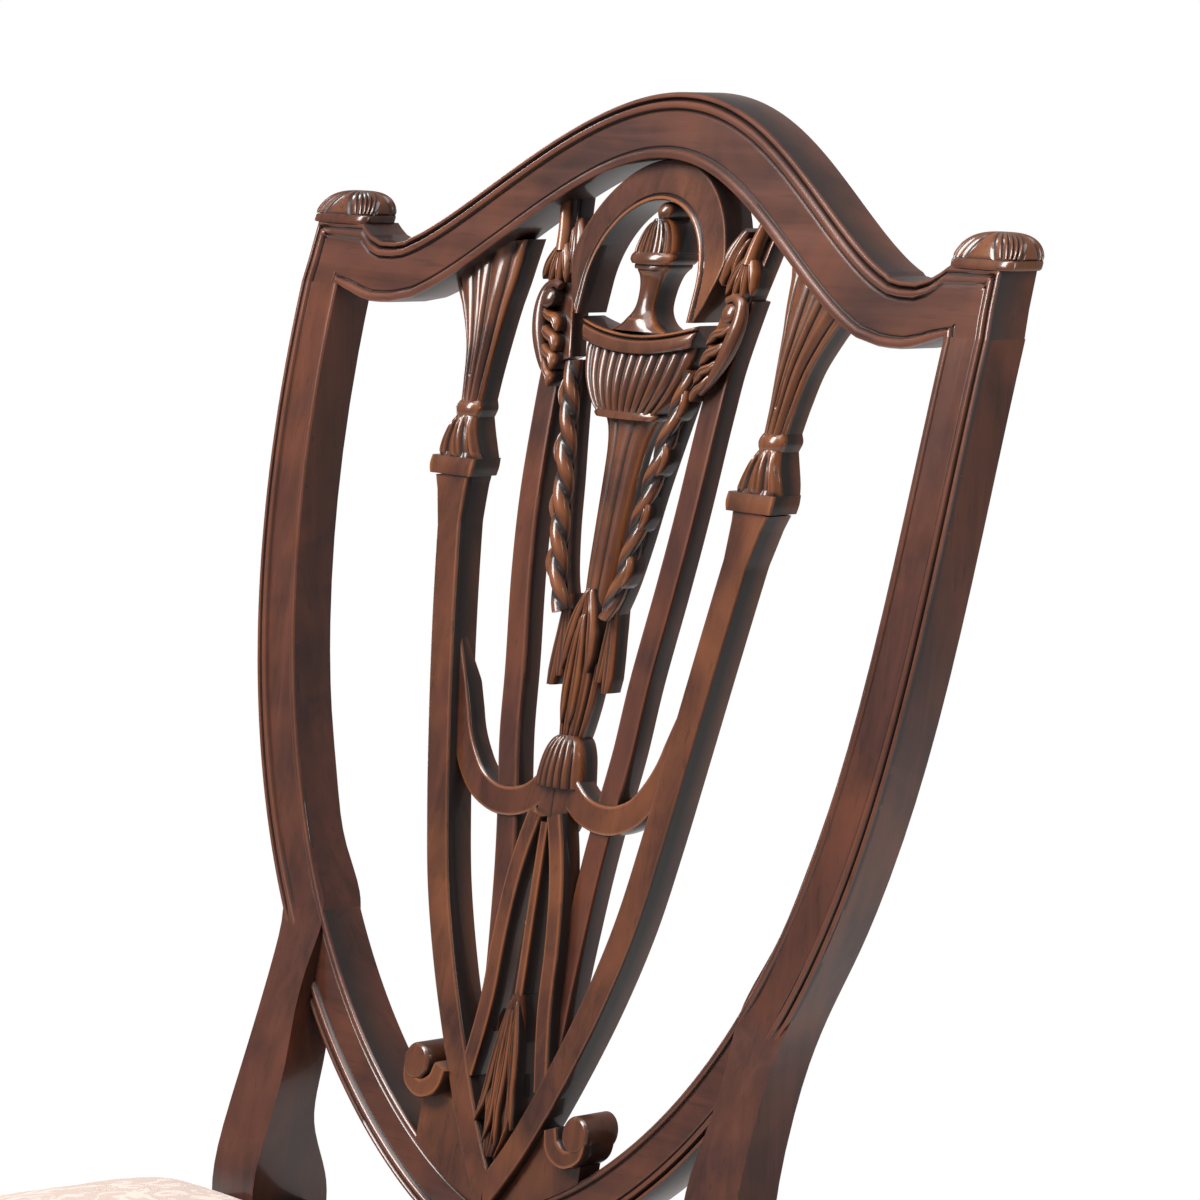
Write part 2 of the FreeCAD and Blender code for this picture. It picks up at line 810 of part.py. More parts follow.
urn_rim_half = size("arch_half_width") - 9.0
urn_profile = [
    (0, 207), (5, 203), (4, 198.5), (11, 193), (14.5, 183), (13.5, 180), (13.5, 175),
    (9, 172), (6, 162), (7, 153), (14, 146), (26, 143.5), (urn_rim_half, 149.5),
]
urn_lower = [
    (urn_rim_half, 149.5), (42, 136), (36, 116), (22, 104), (13, 92), (11, 60), (11, 6),
]
urn_husk = [(11, 6), (20, 0), (19, -27), (12, -28), (13, -40), (8, -56.5)]


def symmetric_runs(right_runs):
    """Runs down the right side from the top, closed by their mirror image on the left."""
    left_runs = [
        [(-reach, rise) for reach, rise in reversed(run)] for run in reversed(right_runs)
    ]
    closing = [[right_runs[-1][-1], left_runs[0][0]]]
    if right_runs[-1][-1][0] == 0:
        closing = []
    return right_runs + closing + left_runs


def line_runs(points):
    return [[points[index], points[index + 1]] for index in range(len(points) - 1)]


urn_runs = symmetric_runs(
    line_runs(urn_profile) + line_runs(urn_lower) + line_runs(urn_husk))
urn_panel = cut_from_board("urn_panel_plain", urn_runs, urn_board)


def rope_runs(sign):
    """Twisted drapery rope from the rim's end in to the husk."""
    outer = [(48, 124), (43, 100), (37, 68), (33, 40), (26, 14), (18, -3)]
    inner = [(9, 3), (17, 22), (22, 44), (26, 70), (31, 98), (34, 117)]
    if sign < 0:
        outer = [(-reach, rise) for reach, rise in outer]
        inner = [(-reach, rise) for reach, rise in inner]
    return [outer, [outer[-1], inner[0]], inner, [inner[-1], outer[0]]]


urn_ropes = [
    cut_from_board(f"urn_rope_{name}", rope_runs(sign), urn_board)
    for name, sign in (("left", -1), ("right", 1))
]
keep("urn_panel", fuse("urn_panel", [urn_panel] + urn_ropes))

# Consoles: carved brackets from the crest to the urn's shoulders and the inner ribs

console_low = 120.0
console_out = 72.0


CREST_LAP = 6.0


def under_crest(reaches):
    """Points a little inside the crest, which the crest then trims to its own edge."""
    edge = [crest_edge(reach, -1) for reach in reaches]
    return [(reach, rise + CREST_LAP) for reach, rise in edge]


def console_runs():
    crest_low = under_crest((66, 76, 84))
    half = size("arch_half_width")
    rib_top = size("inner_rib_top_rise")
    return [
        [(half, 150), (half, 165), (half - 0.9, 176), (half - 3.2, 188), (half + 1, 198),
         crest_low[0]],
        crest_low,
        [crest_low[-1], (console_out + 2, rib_top)],
        [(console_out + 2, rib_top), (59, rib_top)],
        [(59, rib_top), (60, 148), (54, 134), (50, console_low), (48, 124)],
        [(48, 124), (urn_rim_half - 1.5, 142)],
        [(urn_rim_half - 1.5, 142), (urn_rim_half, 150), ],
        [(urn_rim_half, 150), (half, 150)],
    ]


def make_console(name):
    whole = cut_from_board(name + "_whole", console_runs(), arch_board)
    for index, neighbour in enumerate((crest_plain, pieces["splat_arch"], pieces["urn_panel"])):
        whole = cut(f"{name}_trim_{index}", whole, neighbour)
    return whole


both_sides("splat_console", make_console)

# Outer ribs: carved capital, collar, bell and ledge over a plain slat that bows to the tip

OUTER_RIB_LINE = [
    (109.5, 62), (105.5, 40), (98.5, 0), (93, -30), (87.3, -60), (79.2, -100), (69.5, -140),
    (55, -180), (36.5, -220), (21, -250),
]


def rib_side(line, width, side):
    """One side of a rib: half its width out from its middle line, square to it."""
    points = []
    for index, (reach, rise) in enumerate(line):
        before = line[max(index - 1, 0)]
        after = line[min(index + 1, len(line) - 1)]
        run = (after[0] - before[0], after[1] - before[1])
        length = math.hypot(*run)
        half = width / 2
        points.append((reach - side * half * run[1] / length, rise + side * half * run[0] / length))
    return points


def outer_rib_runs():
    outer = rib_side(OUTER_RIB_LINE, size("rib_width"), 1)
    inner = rib_side(OUTER_RIB_LINE, size("rib_width"), -1)
    crest_low = under_crest((108, 122, 138, 152))
    tip = size("tip_rise")
    inner_tip = (0.0, tip + size("rib_width") * 0.85)
    outer_tip = (0.0, tip)
    capital = [crest_low[-1], (134, 147), (125.5, 133), (121, 112), (118.5, 101)]
    return [
        crest_low,
        capital,
        [(118.5, 101), (119.5, 94)],
        [(119.5, 94), (125.5, 72)],
        [(125.5, 72), (125.5, 64)],
        [(125.5, 64), outer[0]],
        outer + [outer_tip],
        [outer_tip, inner_tip],
        [inner_tip] + inner[::-1],
        [inner[0], (93.5, 64)],
        [(93.5, 64), (93.5, 72)],
        [(93.5, 72), (103.5, 94)],
        [(103.5, 94), (104, 101)],
        [(104, 101), (102, 130), (99, 160), crest_low[0]],
    ]


def make_outer_rib(name):
    whole = cut_from_board(name + "_whole", outer_rib_runs(), outer_rib_board)
    shouldered = cut(name + "_shouldered", whole, crest_plain)
    return fuse(name, [shouldered, rib_tenon_right])


both_sides("outer_rib", make_outer_rib)

# Inner ribs: plain slats behind the swag, from the consoles to the strands

INNER_RIB_LINE = [
    (65, 163), (61, 130), (60, 105), (57.5, 60), (53, 20), (46, -25), (42, -60), (36, -90),
    (31.5, -120), (28, -150), (25.2, -180), (23.5, -208),
]


def inner_rib_runs():
    line = list(INNER_RIB_LINE)
    line[0] = (line[0][0], size("inner_rib_top_rise"))
    outer = rib_side(line, size("inner_rib_width"), 1)
    inner = rib_side(line, size("inner_rib_width"), -1)
    top = size("inner_rib_top_rise")
    outer[0] = (console_out + 1, top)
    inner[0] = (59.2, top)
    return [
        outer,
        [outer[-1], inner[-1]],
        inner[::-1],
        [inner[0], outer[0]],
    ]


swag_tip = (90, -12)
swag_line = [(81, -46), (74, -66), (62, -83), (48, -91), (34, -92.5), (20, -89), (9, -81)]


def swag_runs():
    width = 15.0
    outer = [swag_tip] + rib_side(swag_line, width, 1)
    inner = rib_side(swag_line, width, -1)
    return [outer, [outer[-1], inner[-1]], inner[::-1], [inner[0], swag_tip]]


def make_swag(name):
    whole = cut_from_board(name + "_whole", swag_runs(), swag_board)
    return cut(name, whole, pieces["outer_rib_right"])


swags = both_sides("swag_rail", make_swag)


def make_inner_rib(name):
    whole = cut_from_board(name + "_whole", inner_rib_runs(), inner_rib_board)
    trimmed = cut(name + "_below_console", whole, pieces["splat_console_right"])
    trimmed = cut(name + "_behind_swag", trimmed, swags[1])
    return cut(name + "_beside_outer_rib", trimmed, pieces["outer_rib_right"])


both_sides("inner_rib", make_inner_rib)

# Knot: ribbed bell cap over the crossing of the swags

knot_runs = symmetric_runs([
    [(0, -56.5), (8, -57), (13, -68), (16, -80)],
    [(16, -80), (9, -81)],
    [(9, -81), (11, -97)],
    [(11, -97), (0, -104)],
])
knot_whole = cut_from_board("knot_whole", knot_runs, swag_board)
knot_without_left = cut("knot_without_left", knot_whole, swags[0])
knot_without_swags = cut("knot_without_swags", knot_without_left, swags[1])
keep("splat_knot", cut("splat_knot", knot_without_swags, pieces["urn_panel"]))

# Strands below the knot, and the tassel between them

strand_line = [(6, -97), (13, -114), (17, -133), (19.8, -160), (21, -185), (24, -206), (27, -222)]


def strand_runs():
    width = 9.0
    outer = rib_side(strand_line, width, 1)
    inner = rib_side(strand_line, width, -1)
    return [outer, [outer[-1], inner[-1]], inner[::-1], [inner[0], outer[0]]]


def make_strand(name):
    whole = cut_from_board(name + "_whole", strand_runs(), strand_board)
    clear = cut(name + "_below_knot", whole, pieces["splat_knot"])
    clear = cut(name + "_below_swag", clear, pieces["swag_rail_right"])
    clear = cut(name + "_over_inner_rib", clear, pieces["inner_rib_right"])
    return cut(name, clear, pieces["outer_rib_right"])


strands = both_sides("splat_strand", make_strand)

tassel_runs = symmetric_runs([
    [(0, -103), (3, -103)],
    [(3, -103), (3, -184)],
    [(3, -184), (5, -188), (9, -210), (12, -232), (10, -250)],
    [(10, -250), (0, -268)],
])
tassel_whole = cut_from_board("tassel_whole", tassel_runs, strand_board)
tassel_parts = [
    pieces[label] for label in (
        "splat_knot", "outer_rib_left", "outer_rib_right",
        "splat_strand_left", "splat_strand_right")
]
tassel = tassel_whole
for index, neighbour in enumerate(tassel_parts):
    tassel = cut(f"tassel_clear_{index}", tassel, neighbour)
keep("splat_tassel", tassel)

# Plinth with its two scrolls, under the ribs' tip

scroll_reach = 60.0
scroll_rise = -236.0
scroll_radius = 9.0


def plinth_runs():
    inner = curve_points(inner_reach, (60, 45, 30, 15))
    inner_tip = (0, -size("opening_tip_drop"))
    scroll = ellipse_points(scroll_radius, scroll_rise, scroll_radius, 200, -70, 8)
    scroll = [(reach + scroll_reach, rise) for reach, rise in scroll]
    return symmetric_runs([
        [(0, -262), (30, -240)],
        [(30, -240), (40, -236), scroll[0]],
        scroll,
        [scroll[-1], (inner[0][0] + 1, inner[0][1])],
        [(inner[0][0] + 1, inner[0][1])] + inner[1:] + [inner_tip],
    ])


plinth = cut_from_board("plinth_whole", plinth_runs(), plinth_board)
for index, label in enumerate((
        "outer_rib_left", "outer_rib_right", "splat_tassel", "shield_base_rail",
        "splat_strand_left", "splat_strand_right")):
    plinth = cut(f"plinth_clear_{index}", plinth, pieces[label])
keep("splat_plinth", plinth)

# Show-wood cap on the rear rail, notched round both posts

web_layers = 2 * size("web_thick") + size("hessian_thick")
cap_low = size("seat_rail_top") + web_layers
cap_front = size("post_seat_front") - size("rear_cap_lead")
rear_rail_back = rear_rail_y + size("rail_thick")


def both_halves(right_half):
    """A level outline from its right half, given from the front to the back."""
    return right_half + [(-reach, depth) for reach, depth in reversed(right_half)]


cap_corners = both_halves([
    (side_rear_out, cap_front), (side_rear_out, size("post_seat_front")),
    (seat_post_in, size("post_seat_front")), (seat_post_in, rear_rail_back),
])
cap_plain = level_body("cap_plain", cap_corners, cap_low, "sizes.rear_cap_thick")
cap_right_notch = cut("cap_right_notch", cap_plain, post_plain)
keep("rear_rail_cap", cut("rear_rail_cap", cap_right_notch, post_plain_left))

# Corner blocks, glued and screwed inside the seat frame

front_rail_inner = front_rail_y + size("rail_thick")
side_front_in = side_front_out - size("rail_thick")
side_rear_in = side_rear_out - size("rail_thick")
block_low = size("seat_rail_top") - 8.0 - size("block_thick")


def side_inner(depth):
    """X of the side rail's inner face at a place along the seat."""
    return side_front_in + side_lean * (depth - leg_rear_y)


def side_outer(depth):
    return side_inner(depth) + size("rail_thick")


front_block_corners = [
    (front_leg_in - size("block_reach"), front_rail_inner), (front_leg_in, front_rail_inner),
    (front_leg_in, leg_rear_y), (side_front_in, leg_rear_y),
    (side_inner(leg_rear_y + size("block_reach")), leg_rear_y + size("block_reach")),
]
post_front = size("post_seat_front")
rear_block_corners = [
    (seat_post_in - size("block_reach"), rear_rail_y), (seat_post_in, rear_rail_y),
    (seat_post_in, post_front), (side_rear_in, post_front),
    (side_inner(post_front - size("block_reach")), post_front - size("block_reach")),
]


def block_screw(name, toward, turn_degrees, length_added=0.0):
    """A countersunk wood screw through a corner block into the leg."""
    radius = size("screw_radius") + length_added
    shank = doc.addObject("Part::Cylinder", name + "_shank")
    shank.Radius = radius
    shank.Height = size("screw_length")
    head = doc.addObject("Part::Cone", name + "_head")
    head.Radius1 = size("screw_head_radius") + length_added
    head.Radius2 = radius
    head.Height = 3.0
    place = Placement(
        Vector(*toward), Rotation(Vector(0, 0, 1), turn_degrees) * Rotation(Vector(0, 1, 0), 90))
    shank.Placement = place
    head.Placement = place
    return fuse(name, [shank, head])


def mid_edge(first, last, low):
    return ((first[0] + last[0]) / 2, (first[1] + last[1]) / 2, low)


def square_turn(first, last, outward):
    """Direction square to an edge, on the side given, in degrees from +X."""
    angle = math.degrees(math.atan2(last[1] - first[1], last[0] - first[0]))
    return angle + outward


screw_level = block_low + size("block_thick") / 2
SCREW_CLEARANCE = 0.2
screw_places = {
    "front": (
        mid_edge(front_block_corners[0], front_block_corners[-1], screw_level),
        square_turn(front_block_corners[0], front_block_corners[-1], -90)),
    "rear": (
        mid_edge(rear_block_corners[0], rear_block_corners[-1], screw_level),
        square_turn(rear_block_corners[0], rear_block_corners[-1], 90)),
}
screws = {place: block_screw(f"{place}_screw", *screw_places[place]) for place in screw_places}
screw_holes = {
    place: block_screw(f"{place}_screw_hole", *screw_places[place], SCREW_CLEARANCE)
    for place in screw_places
}


def make_block(place, corners):
    def make(name):
        body = level_body(name + "_plain", corners, block_low, "sizes.block_thick")
        clear = cut(name + "_clear", body, post_plain)
        return cut(name, clear, screw_holes[place])
    return make


both_sides("front_leg", make_front_leg)
rear_posts = both_sides("rear_post", make_rear_post)
both_sides("front_corner_block", make_block("front", front_block_corners))
both_sides("rear_corner_block", make_block("rear", rear_block_corners))

all_screws = doc.addObject("Part::Compound", "corner_block_screws")
all_screws.Links = [
    screws["front"], screws["rear"],
    mirrored("front_screw_left", screws["front"]), mirrored("rear_screw_left", screws["rear"]),
]
keep("corner_block_screws", all_screws)

# Webbing: straps across on the rails, straps front to back over them, then hessian

WEBS_ACROSS = 5
WEBS_ALONG = 5
web_first = leg_rear_y + 18.0
web_step = (cap_front - 14.0 - size("web_width") - web_first) / (WEBS_ACROSS - 1)
web_edge = 3.0
across_straps = []
for index in range(WEBS_ACROSS):
    low_y = web_first + index * web_step
    high_y = low_y + size("web_width")
    low_out = side_outer(low_y) - web_edge
    high_out = side_outer(high_y) - web_edge
    across_straps.append(level_body(
        f"web_across_{index}",
        [(-low_out, low_y), (low_out, low_y), (high_out, high_y), (-high_out, high_y)],
        size("seat_rail_top"), "sizes.web_thick"))
web_across = doc.addObject("Part::Compound", "webbing_across")
web_across.Links = across_straps
keep("webbing_across", web_across)

along_low = size("seat_rail_top") + size("web_thick")
along_reach = seat_post_in - size("web_width") / 2 - 4.0
along_straps = []
for index in range(WEBS_ALONG):
    middle = -along_reach + index * 2 * along_reach / (WEBS_ALONG - 1)
    half = size("web_width") / 2
    along_straps.append(level_body(
        f"web_along_{index}",
        bar_corners(
            middle - half, middle + half, front_rail_y + web_edge, rear_rail_back - web_edge),
        along_low, "sizes.web_thick"))
web_along = doc.addObject("Part::Compound", "webbing_along")
web_along.Links = along_straps
keep("webbing_along", web_along)

hessian_corners = both_halves([
    (front_leg_out - 4, front_rail_y + 1), (front_leg_out - 4, leg_rear_y),
    (side_rear_out - 1, post_front - 0.5), (seat_post_in - 0.5, post_front - 0.5),
    (seat_post_in - 0.5, rear_rail_back - 1),
])
hessian_low = along_low + size("web_thick")
keep("hessian", level_body("hessian", hessian_corners, hessian_low, "sizes.hessian_thick"))

# Seat cushion: stuffing under a cover that wraps the rails on three sides

cover_low = rail_low + size("cover_skirt_gap")
cushion_low = hessian_low + size("hessian_thick") + size("soft_gap")
edge_rise = cushion_low + size("stuffing_rise")
crown = size("stuffing_crown")
cover_front = leg_front_y - size("soft_gap") - size("cover_thick")
cover_side = front_leg_out + size("soft_gap") + size("cover_thick")
cover_rear = cap_front - size("soft_gap")
cover_rear_side = side_outer(cover_rear) + 2 * size("soft_gap") + size("cover_thick")


CORNER_ROUND = 0.7


def seat_outline(height, inset, bulge=0.0, round_off=CORNER_ROUND):
    """The seat's plan at a height: wider in front, its sides drawn in along the rails."""
    side = cover_side - inset + bulge
    front = cover_front + inset - bulge
    rear_side = cover_rear_side - inset + bulge
    rear = cover_rear - inset
    half = [
        (0.45 * side, front - 1.0), (side - round_off, front), (side, front + round_off),
        (side, front + leg_rear_y + 2 - cover_front), (rear_side, rear),
    ]
    return [Vector(reach, depth, height) for reach, depth in both_halves(half)]


def cushion_sections(inset, top_drop, low):
    """Level sections of the crowned seat: upright edge, rounded rim and shallow crown."""
    rim = edge_rise - top_drop
    return [
        seat_outline(low, inset),
        seat_outline(rim - 10, inset, 1.5),
        seat_outline(rim, inset + 4, 0.0, 8.0),
        seat_outline(rim + 0.40 * crown, inset + 20, 0.0, 14.0),
        seat_outline(rim + 0.72 * crown, inset + 52, 0.0, 18.0),
        seat_outline(rim + 0.92 * crown, inset + 96, 0.0, 20.0),
        seat_outline(rim + crown, inset + 135, 0.0, 20.0),
    ]


skin = size("cover_thick")
cover_outside = tapered("cover_outside", cushion_sections(0.0, 0.0, cover_low))
cover_inside = tapered("cover_inside", cushion_sections(skin, skin, cover_low - 1))
cover_shell = cut("cover_shell", cover_outside, cover_inside)
rear_way_half = side_outer(cover_rear) + 1.5 * size("soft_gap")
rear_way_start = cover_rear - 2 * skin
rear_way = box(
    "rear_way", f"2 * {rear_way_half}", f"{4 * skin}", f"{cushion_low - cover_low + 2}",
    (-rear_way_half, rear_way_start, cover_low - 2))
keep("seat_cover", cut("seat_cover", cover_shell, rear_way))
stuffing_inset = skin + size("soft_gap")
keep("seat_stuffing", tapered("seat_stuffing", cushion_sections(
    stuffing_inset, stuffing_inset, cushion_low)))

# Gimp braid round the cover's lower edge, cambric under the seat and glides under the feet

def gimp_half(out):
    side = cover_side + out
    rear_side = cover_rear_side + out
    return [
        (0.45 * side, cover_front - 1.0 - out), (side - CORNER_ROUND, cover_front - out),
        (side, cover_front + CORNER_ROUND - out), (side, leg_rear_y + 2),
        (rear_side, cover_rear),
    ]


gimp_near = 0.3
gimp_outer = gimp_half(gimp_near + size("gimp_thick"))
gimp_inner = gimp_half(gimp_near)
gimp_corners = (
    [(-reach, depth) for reach, depth in reversed(gimp_outer)] + gimp_outer
    + gimp_inner[::-1] + [(-reach, depth) for reach, depth in gimp_inner])
keep("gimp_braid", level_body(
    "gimp_braid", gimp_corners, cover_low + 1.0, "sizes.gimp_width"))

dust_edge = 5.0
dust_corners = both_halves([
    (front_leg_in - 1, front_rail_y + dust_edge), (front_leg_in - 1, leg_rear_y + 1),
    (side_front_out - dust_edge, leg_rear_y + 1),
    (side_rear_out - dust_edge, post_front - 1), (seat_post_in - 1, post_front - 1),
    (seat_post_in - 1, rear_rail_back - dust_edge),
])
keep("dust_cover", level_body(
    "dust_cover", dust_corners, rail_low - size("dust_cover_thick"), "sizes.dust_cover_thick"))


def glide(name, reach, depth):
    """A round glide under one foot."""
    disc = doc.addObject("Part::Cylinder", name)
    disc.setExpression("Radius", "sizes.glide_radius")
    disc.setExpression("Height", "sizes.glide_thick")
    disc.Placement = Placement(Vector(reach, depth, 0), Rotation())
    return keep(name, disc)


rear_foot_middle = size("post_seat_half_span") + 1 - size("post_foot_width") / 2
rear_foot_y = size("rear_foot_reach") - size("post_foot_depth") / 2
for side_name, sign in (("left", -1), ("right", 1)):
    glide(f"front_glide_{side_name}", sign * front_leg_middle, leg_middle_y)
    glide(f"rear_glide_{side_name}", sign * rear_foot_middle, rear_foot_y)

doc.recompute()

# Check and write

failed = []
for item in doc.Objects:
    if "Invalid" in item.State or "Error" in item.State:
        failed.append(f"{item.Label}: {item.State}")
for label, piece in pieces.items():
    shape = piece.Shape
    if shape.isNull() or not shape.isValid() or not shape.Solids:
        failed.append(f"{label}: no valid solid")
if failed:
    raise RuntimeError("; ".join(failed))

for label, piece in pieces.items():
    shape = piece.Shape
    limits = shape.optimalBoundingBox(False)
    print(
        f"{label}: solids {len(shape.Solids)} volume {shape.Volume:.0f}"
        f" x {limits.XMin:.1f} {limits.XMax:.1f} y {limits.YMin:.1f} {limits.YMax:.1f}"
        f" z {limits.ZMin:.1f} {limits.ZMax:.1f}")
    shape.exportStep(f"parts/{label}.step")
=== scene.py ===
"""Shield back chair: carved mahogany back, turned-out legs and a stuffed seat on the fixed frame."""
import math

import bpy
import numpy as np
from mathutils import Matrix, Vector


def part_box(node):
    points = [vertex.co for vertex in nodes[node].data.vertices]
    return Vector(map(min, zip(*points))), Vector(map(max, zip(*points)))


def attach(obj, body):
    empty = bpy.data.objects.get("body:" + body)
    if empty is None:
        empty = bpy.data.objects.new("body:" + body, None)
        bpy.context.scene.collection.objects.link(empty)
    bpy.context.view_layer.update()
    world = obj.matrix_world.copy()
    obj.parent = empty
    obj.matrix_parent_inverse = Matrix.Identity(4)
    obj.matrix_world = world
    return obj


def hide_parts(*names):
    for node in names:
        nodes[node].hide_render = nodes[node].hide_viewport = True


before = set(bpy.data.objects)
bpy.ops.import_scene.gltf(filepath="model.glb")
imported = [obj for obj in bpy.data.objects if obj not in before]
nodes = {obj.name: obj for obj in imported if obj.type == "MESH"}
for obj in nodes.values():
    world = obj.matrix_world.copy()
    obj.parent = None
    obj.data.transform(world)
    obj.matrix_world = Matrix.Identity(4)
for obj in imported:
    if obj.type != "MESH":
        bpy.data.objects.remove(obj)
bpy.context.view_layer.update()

SHIELD_HEIGHT = 0.765
SHIELD_BACK = 0.197
SLOPE, BOW, SWEEP, HOLLOW = 0.16424, 0.2136, 0.5746, 0.0888
SPLAT_SETBACK, SPLAT_TILT = 0.002, 0.0324
FRAME_DEPTH = 24.0
MOULDING_WIDTH = 28.5
EGG_TOP = 260
OUTER_TIP, INNER_TIP = -314, -287
CREST_FOOT, CREST_RISE = 163.5, 81.5
CREST_SCOOP_REACH = 178
CREST_HALF_BAND = 16.5
MIDDLE_CLEARANCE = 0.00002


# Shaped surfaces of the back: reach and rise in mm about the shield's middle

def frame_face(reach, rise):
    x, z = reach / 1000, rise / 1000
    return SHIELD_BACK + SLOPE * z + BOW * z ** 2 + SWEEP * z ** 3 - HOLLOW * x ** 2


def splat_face(reach, rise):
    return frame_face(reach, rise) + SPLAT_SETBACK + SPLAT_TILT * rise / 1000


def on_face(points, face):
    """World points from (reach, rise, height towards the sitter), all in mm."""
    reach, rise, height = points[..., 0], points[..., 1], points[..., 2]
    world = np.empty(points.shape)
    world[..., 0] = reach / 1000
    world[..., 1] = face(reach, rise) - height / 1000
    world[..., 2] = SHIELD_HEIGHT + rise / 1000
    return world


# Mesh building

def tube_faces(rows, loop):
    """Faces of a closed tube of loops, with a cap at each end."""
    index = np.arange(rows * loop).reshape(rows, loop)
    near, far = index[:-1], index[1:]
    quads = np.stack(
        [near, np.roll(near, -1, 1), np.roll(far, -1, 1), far], axis=-1).reshape(-1, 4)
    faces = quads.tolist()
    faces.append(index[0][::-1].tolist())
    faces.append(index[-1].tolist())
    return faces


def signed_volume(points, faces):
    total = 0.0
    middle = points.mean(axis=0)
    for face in faces:
        corners = points[face] - middle
        first = corners[0]
        total += np.einsum(
            "ij,ij->i", np.cross(corners[1:-1], corners[2:]), np.tile(first, (len(face) - 2, 1))
        ).sum()
    return total / 6


def cavity(heights, reach=3):
    """How far each point of a height grid lies under its surroundings, in mm."""
    padded = np.pad(heights, reach, mode="edge")
    rows, columns = heights.shape
    total = np.zeros(heights.shape)
    count = 0
    for down in range(-reach, reach + 1):
        for over in range(-reach, reach + 1):
            total += padded[reach + down:reach + down + rows, reach + over:reach + over + columns]
            count += 1
    return total / count - heights


class Carving:
    """Closed forms gathered into one piece."""

    def __init__(self, face=splat_face):
        self.face = face
        self.points, self.faces, self.marks = [], [], []
        self.count = 0

    def add_world(self, loops, marks):
        rows, loop = loops.shape[:2]
        points = loops.reshape(-1, 3)
        faces = tube_faces(rows, loop)
        if signed_volume(points, faces) < 0:
            faces = [face[::-1] for face in faces]
        self.points.append(points)
        self.marks.append(marks.reshape(-1))
        self.faces += [[corner + self.count for corner in face] for face in faces]
        self.count += len(points)

    def add(self, loops, marks):
        self.add_world(on_face(loops, self.face), marks)

    def mirror(self):
        """The same carving on the other side of the middle."""
        other = Carving(self.face)
        other.points = [points * np.array([-1, 1, 1]) for points in self.points]
        other.marks = list(self.marks)
        other.faces = [face[::-1] for face in self.faces]
        other.count = self.count
        return other

    def take(self, other):
        """Add another carving's forms to this one."""
        self.points += other.points
        self.marks += other.marks
        self.faces += [[corner + self.count for corner in face] for face in other.faces]
        self.count += other.count

    def make(self, name, material, slot, stands_for=()):
        points = np.concatenate(self.points)
        mesh = bpy.data.meshes.new(name)
        mesh.from_pydata(points.tolist(), [], self.faces)
        mesh.update()
        # carve: how sunk each point lies; the wood materials paint shade into the sunk points and lighten the
        # high ones from it.
        mark = mesh.attributes.new("carve", "FLOAT", "POINT")
        mark.data.foreach_set("value", np.concatenate(self.marks).astype(np.float32))
        return dress(name, mesh, material, stands_for)


def dress(name, mesh, material, stands_for=(), sharp=38):
    mesh.materials.clear()
    mesh.materials.append(material)
    mesh.shade_smooth()
    mesh.set_sharp_from_angle(angle=math.radians(sharp))
    piece = bpy.data.objects.new(name, mesh)
    bpy.context.scene.collection.objects.link(piece)
    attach(piece, "root")
    if stands_for:
        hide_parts(*stands_for)
    return piece


def make_pair(carving, name, material, stands_for):
    """A carving for the right side and its mirror image for the left."""
    for side, shaped in (("right", carving), ("left", carving.mirror())):
        shaped.make(f"{name}_{side}", material, "mahogany", (f"{stands_for}_{side}",))


def smooth_line(points, count):
    """Even points of a smooth curve through the given ones."""
    points = np.asarray(points, float)
    ends = np.vstack([2 * points[0] - points[1], points, 2 * points[-1] - points[-2]])
    runs = []
    for index in range(1, len(ends) - 2):
        before, start, end, after = ends[index - 1:index + 3]
        t = np.linspace(0, 1, 24, endpoint=False)[:, None]
        runs.append(0.5 * (
            2 * start + (end - before) * t + (2 * before - 5 * start + 4 * end - after) * t ** 2
            + (3 * start - before - 3 * end + after) * t ** 3))
    runs.append(points[-1:])
    return even(np.vstack(runs), count)


def even(points, count):
    steps = np.linalg.norm(np.diff(points, axis=0), axis=1)
    along = np.concatenate([[0], np.cumsum(steps)])
    want = np.linspace(0, along[-1], count)
    return np.stack([np.interp(want, along, points[:, axis]) for axis in range(points.shape[1])], 1)


def side_step(line):
    """Unit step square to a line, to its left going along it."""
    along = np.gradient(line, axis=0)
    along /= np.linalg.norm(along, axis=1)[:, None]
    return np.stack([-along[:, 1], along[:, 0]], 1)


def edge_round(distance, radius):
    """Drop near an edge rounded to a radius."""
    inside = np.clip(radius - distance, 0, radius)
    return np.sqrt(radius ** 2 - inside ** 2) - radius


def bead(distance, centre, half, rise):
    return rise * np.sqrt(np.clip(1 - ((distance - centre) / half) ** 2, 0, 1))


def groove(distance, centre, half, depth):
    return -depth * np.exp(-((distance - centre) / half) ** 2)


def ruled(carving, left, right, heights, back, columns_at):
    """A relief between two edges: a height for each row and column, and a flat back."""
    share = columns_at[..., None] if columns_at.ndim == 2 else columns_at[None, :, None]
    front = left[:, None, :] * (1 - share) + right[:, None, :] * share
    front = np.concatenate([front, heights[..., None]], axis=2)
    rows = len(left)
    back = np.broadcast_to(np.asarray(back, float), (rows,))
    rear_right = np.concatenate([right, back[:, None]], axis=1)[:, None, :]
    rear_left = np.concatenate([left, back[:, None]], axis=1)[:, None, :]
    loops = np.concatenate([front, rear_right, rear_left], axis=1)
    marks = np.zeros(loops.shape[:2])
    # Cavity marks: painted shade in the hollows and lighter high parts in the wood material.
    marks[:, :heights.shape[1]] = np.clip(cavity(heights) / 0.55, -1, 1)
    carving.add(loops, marks)


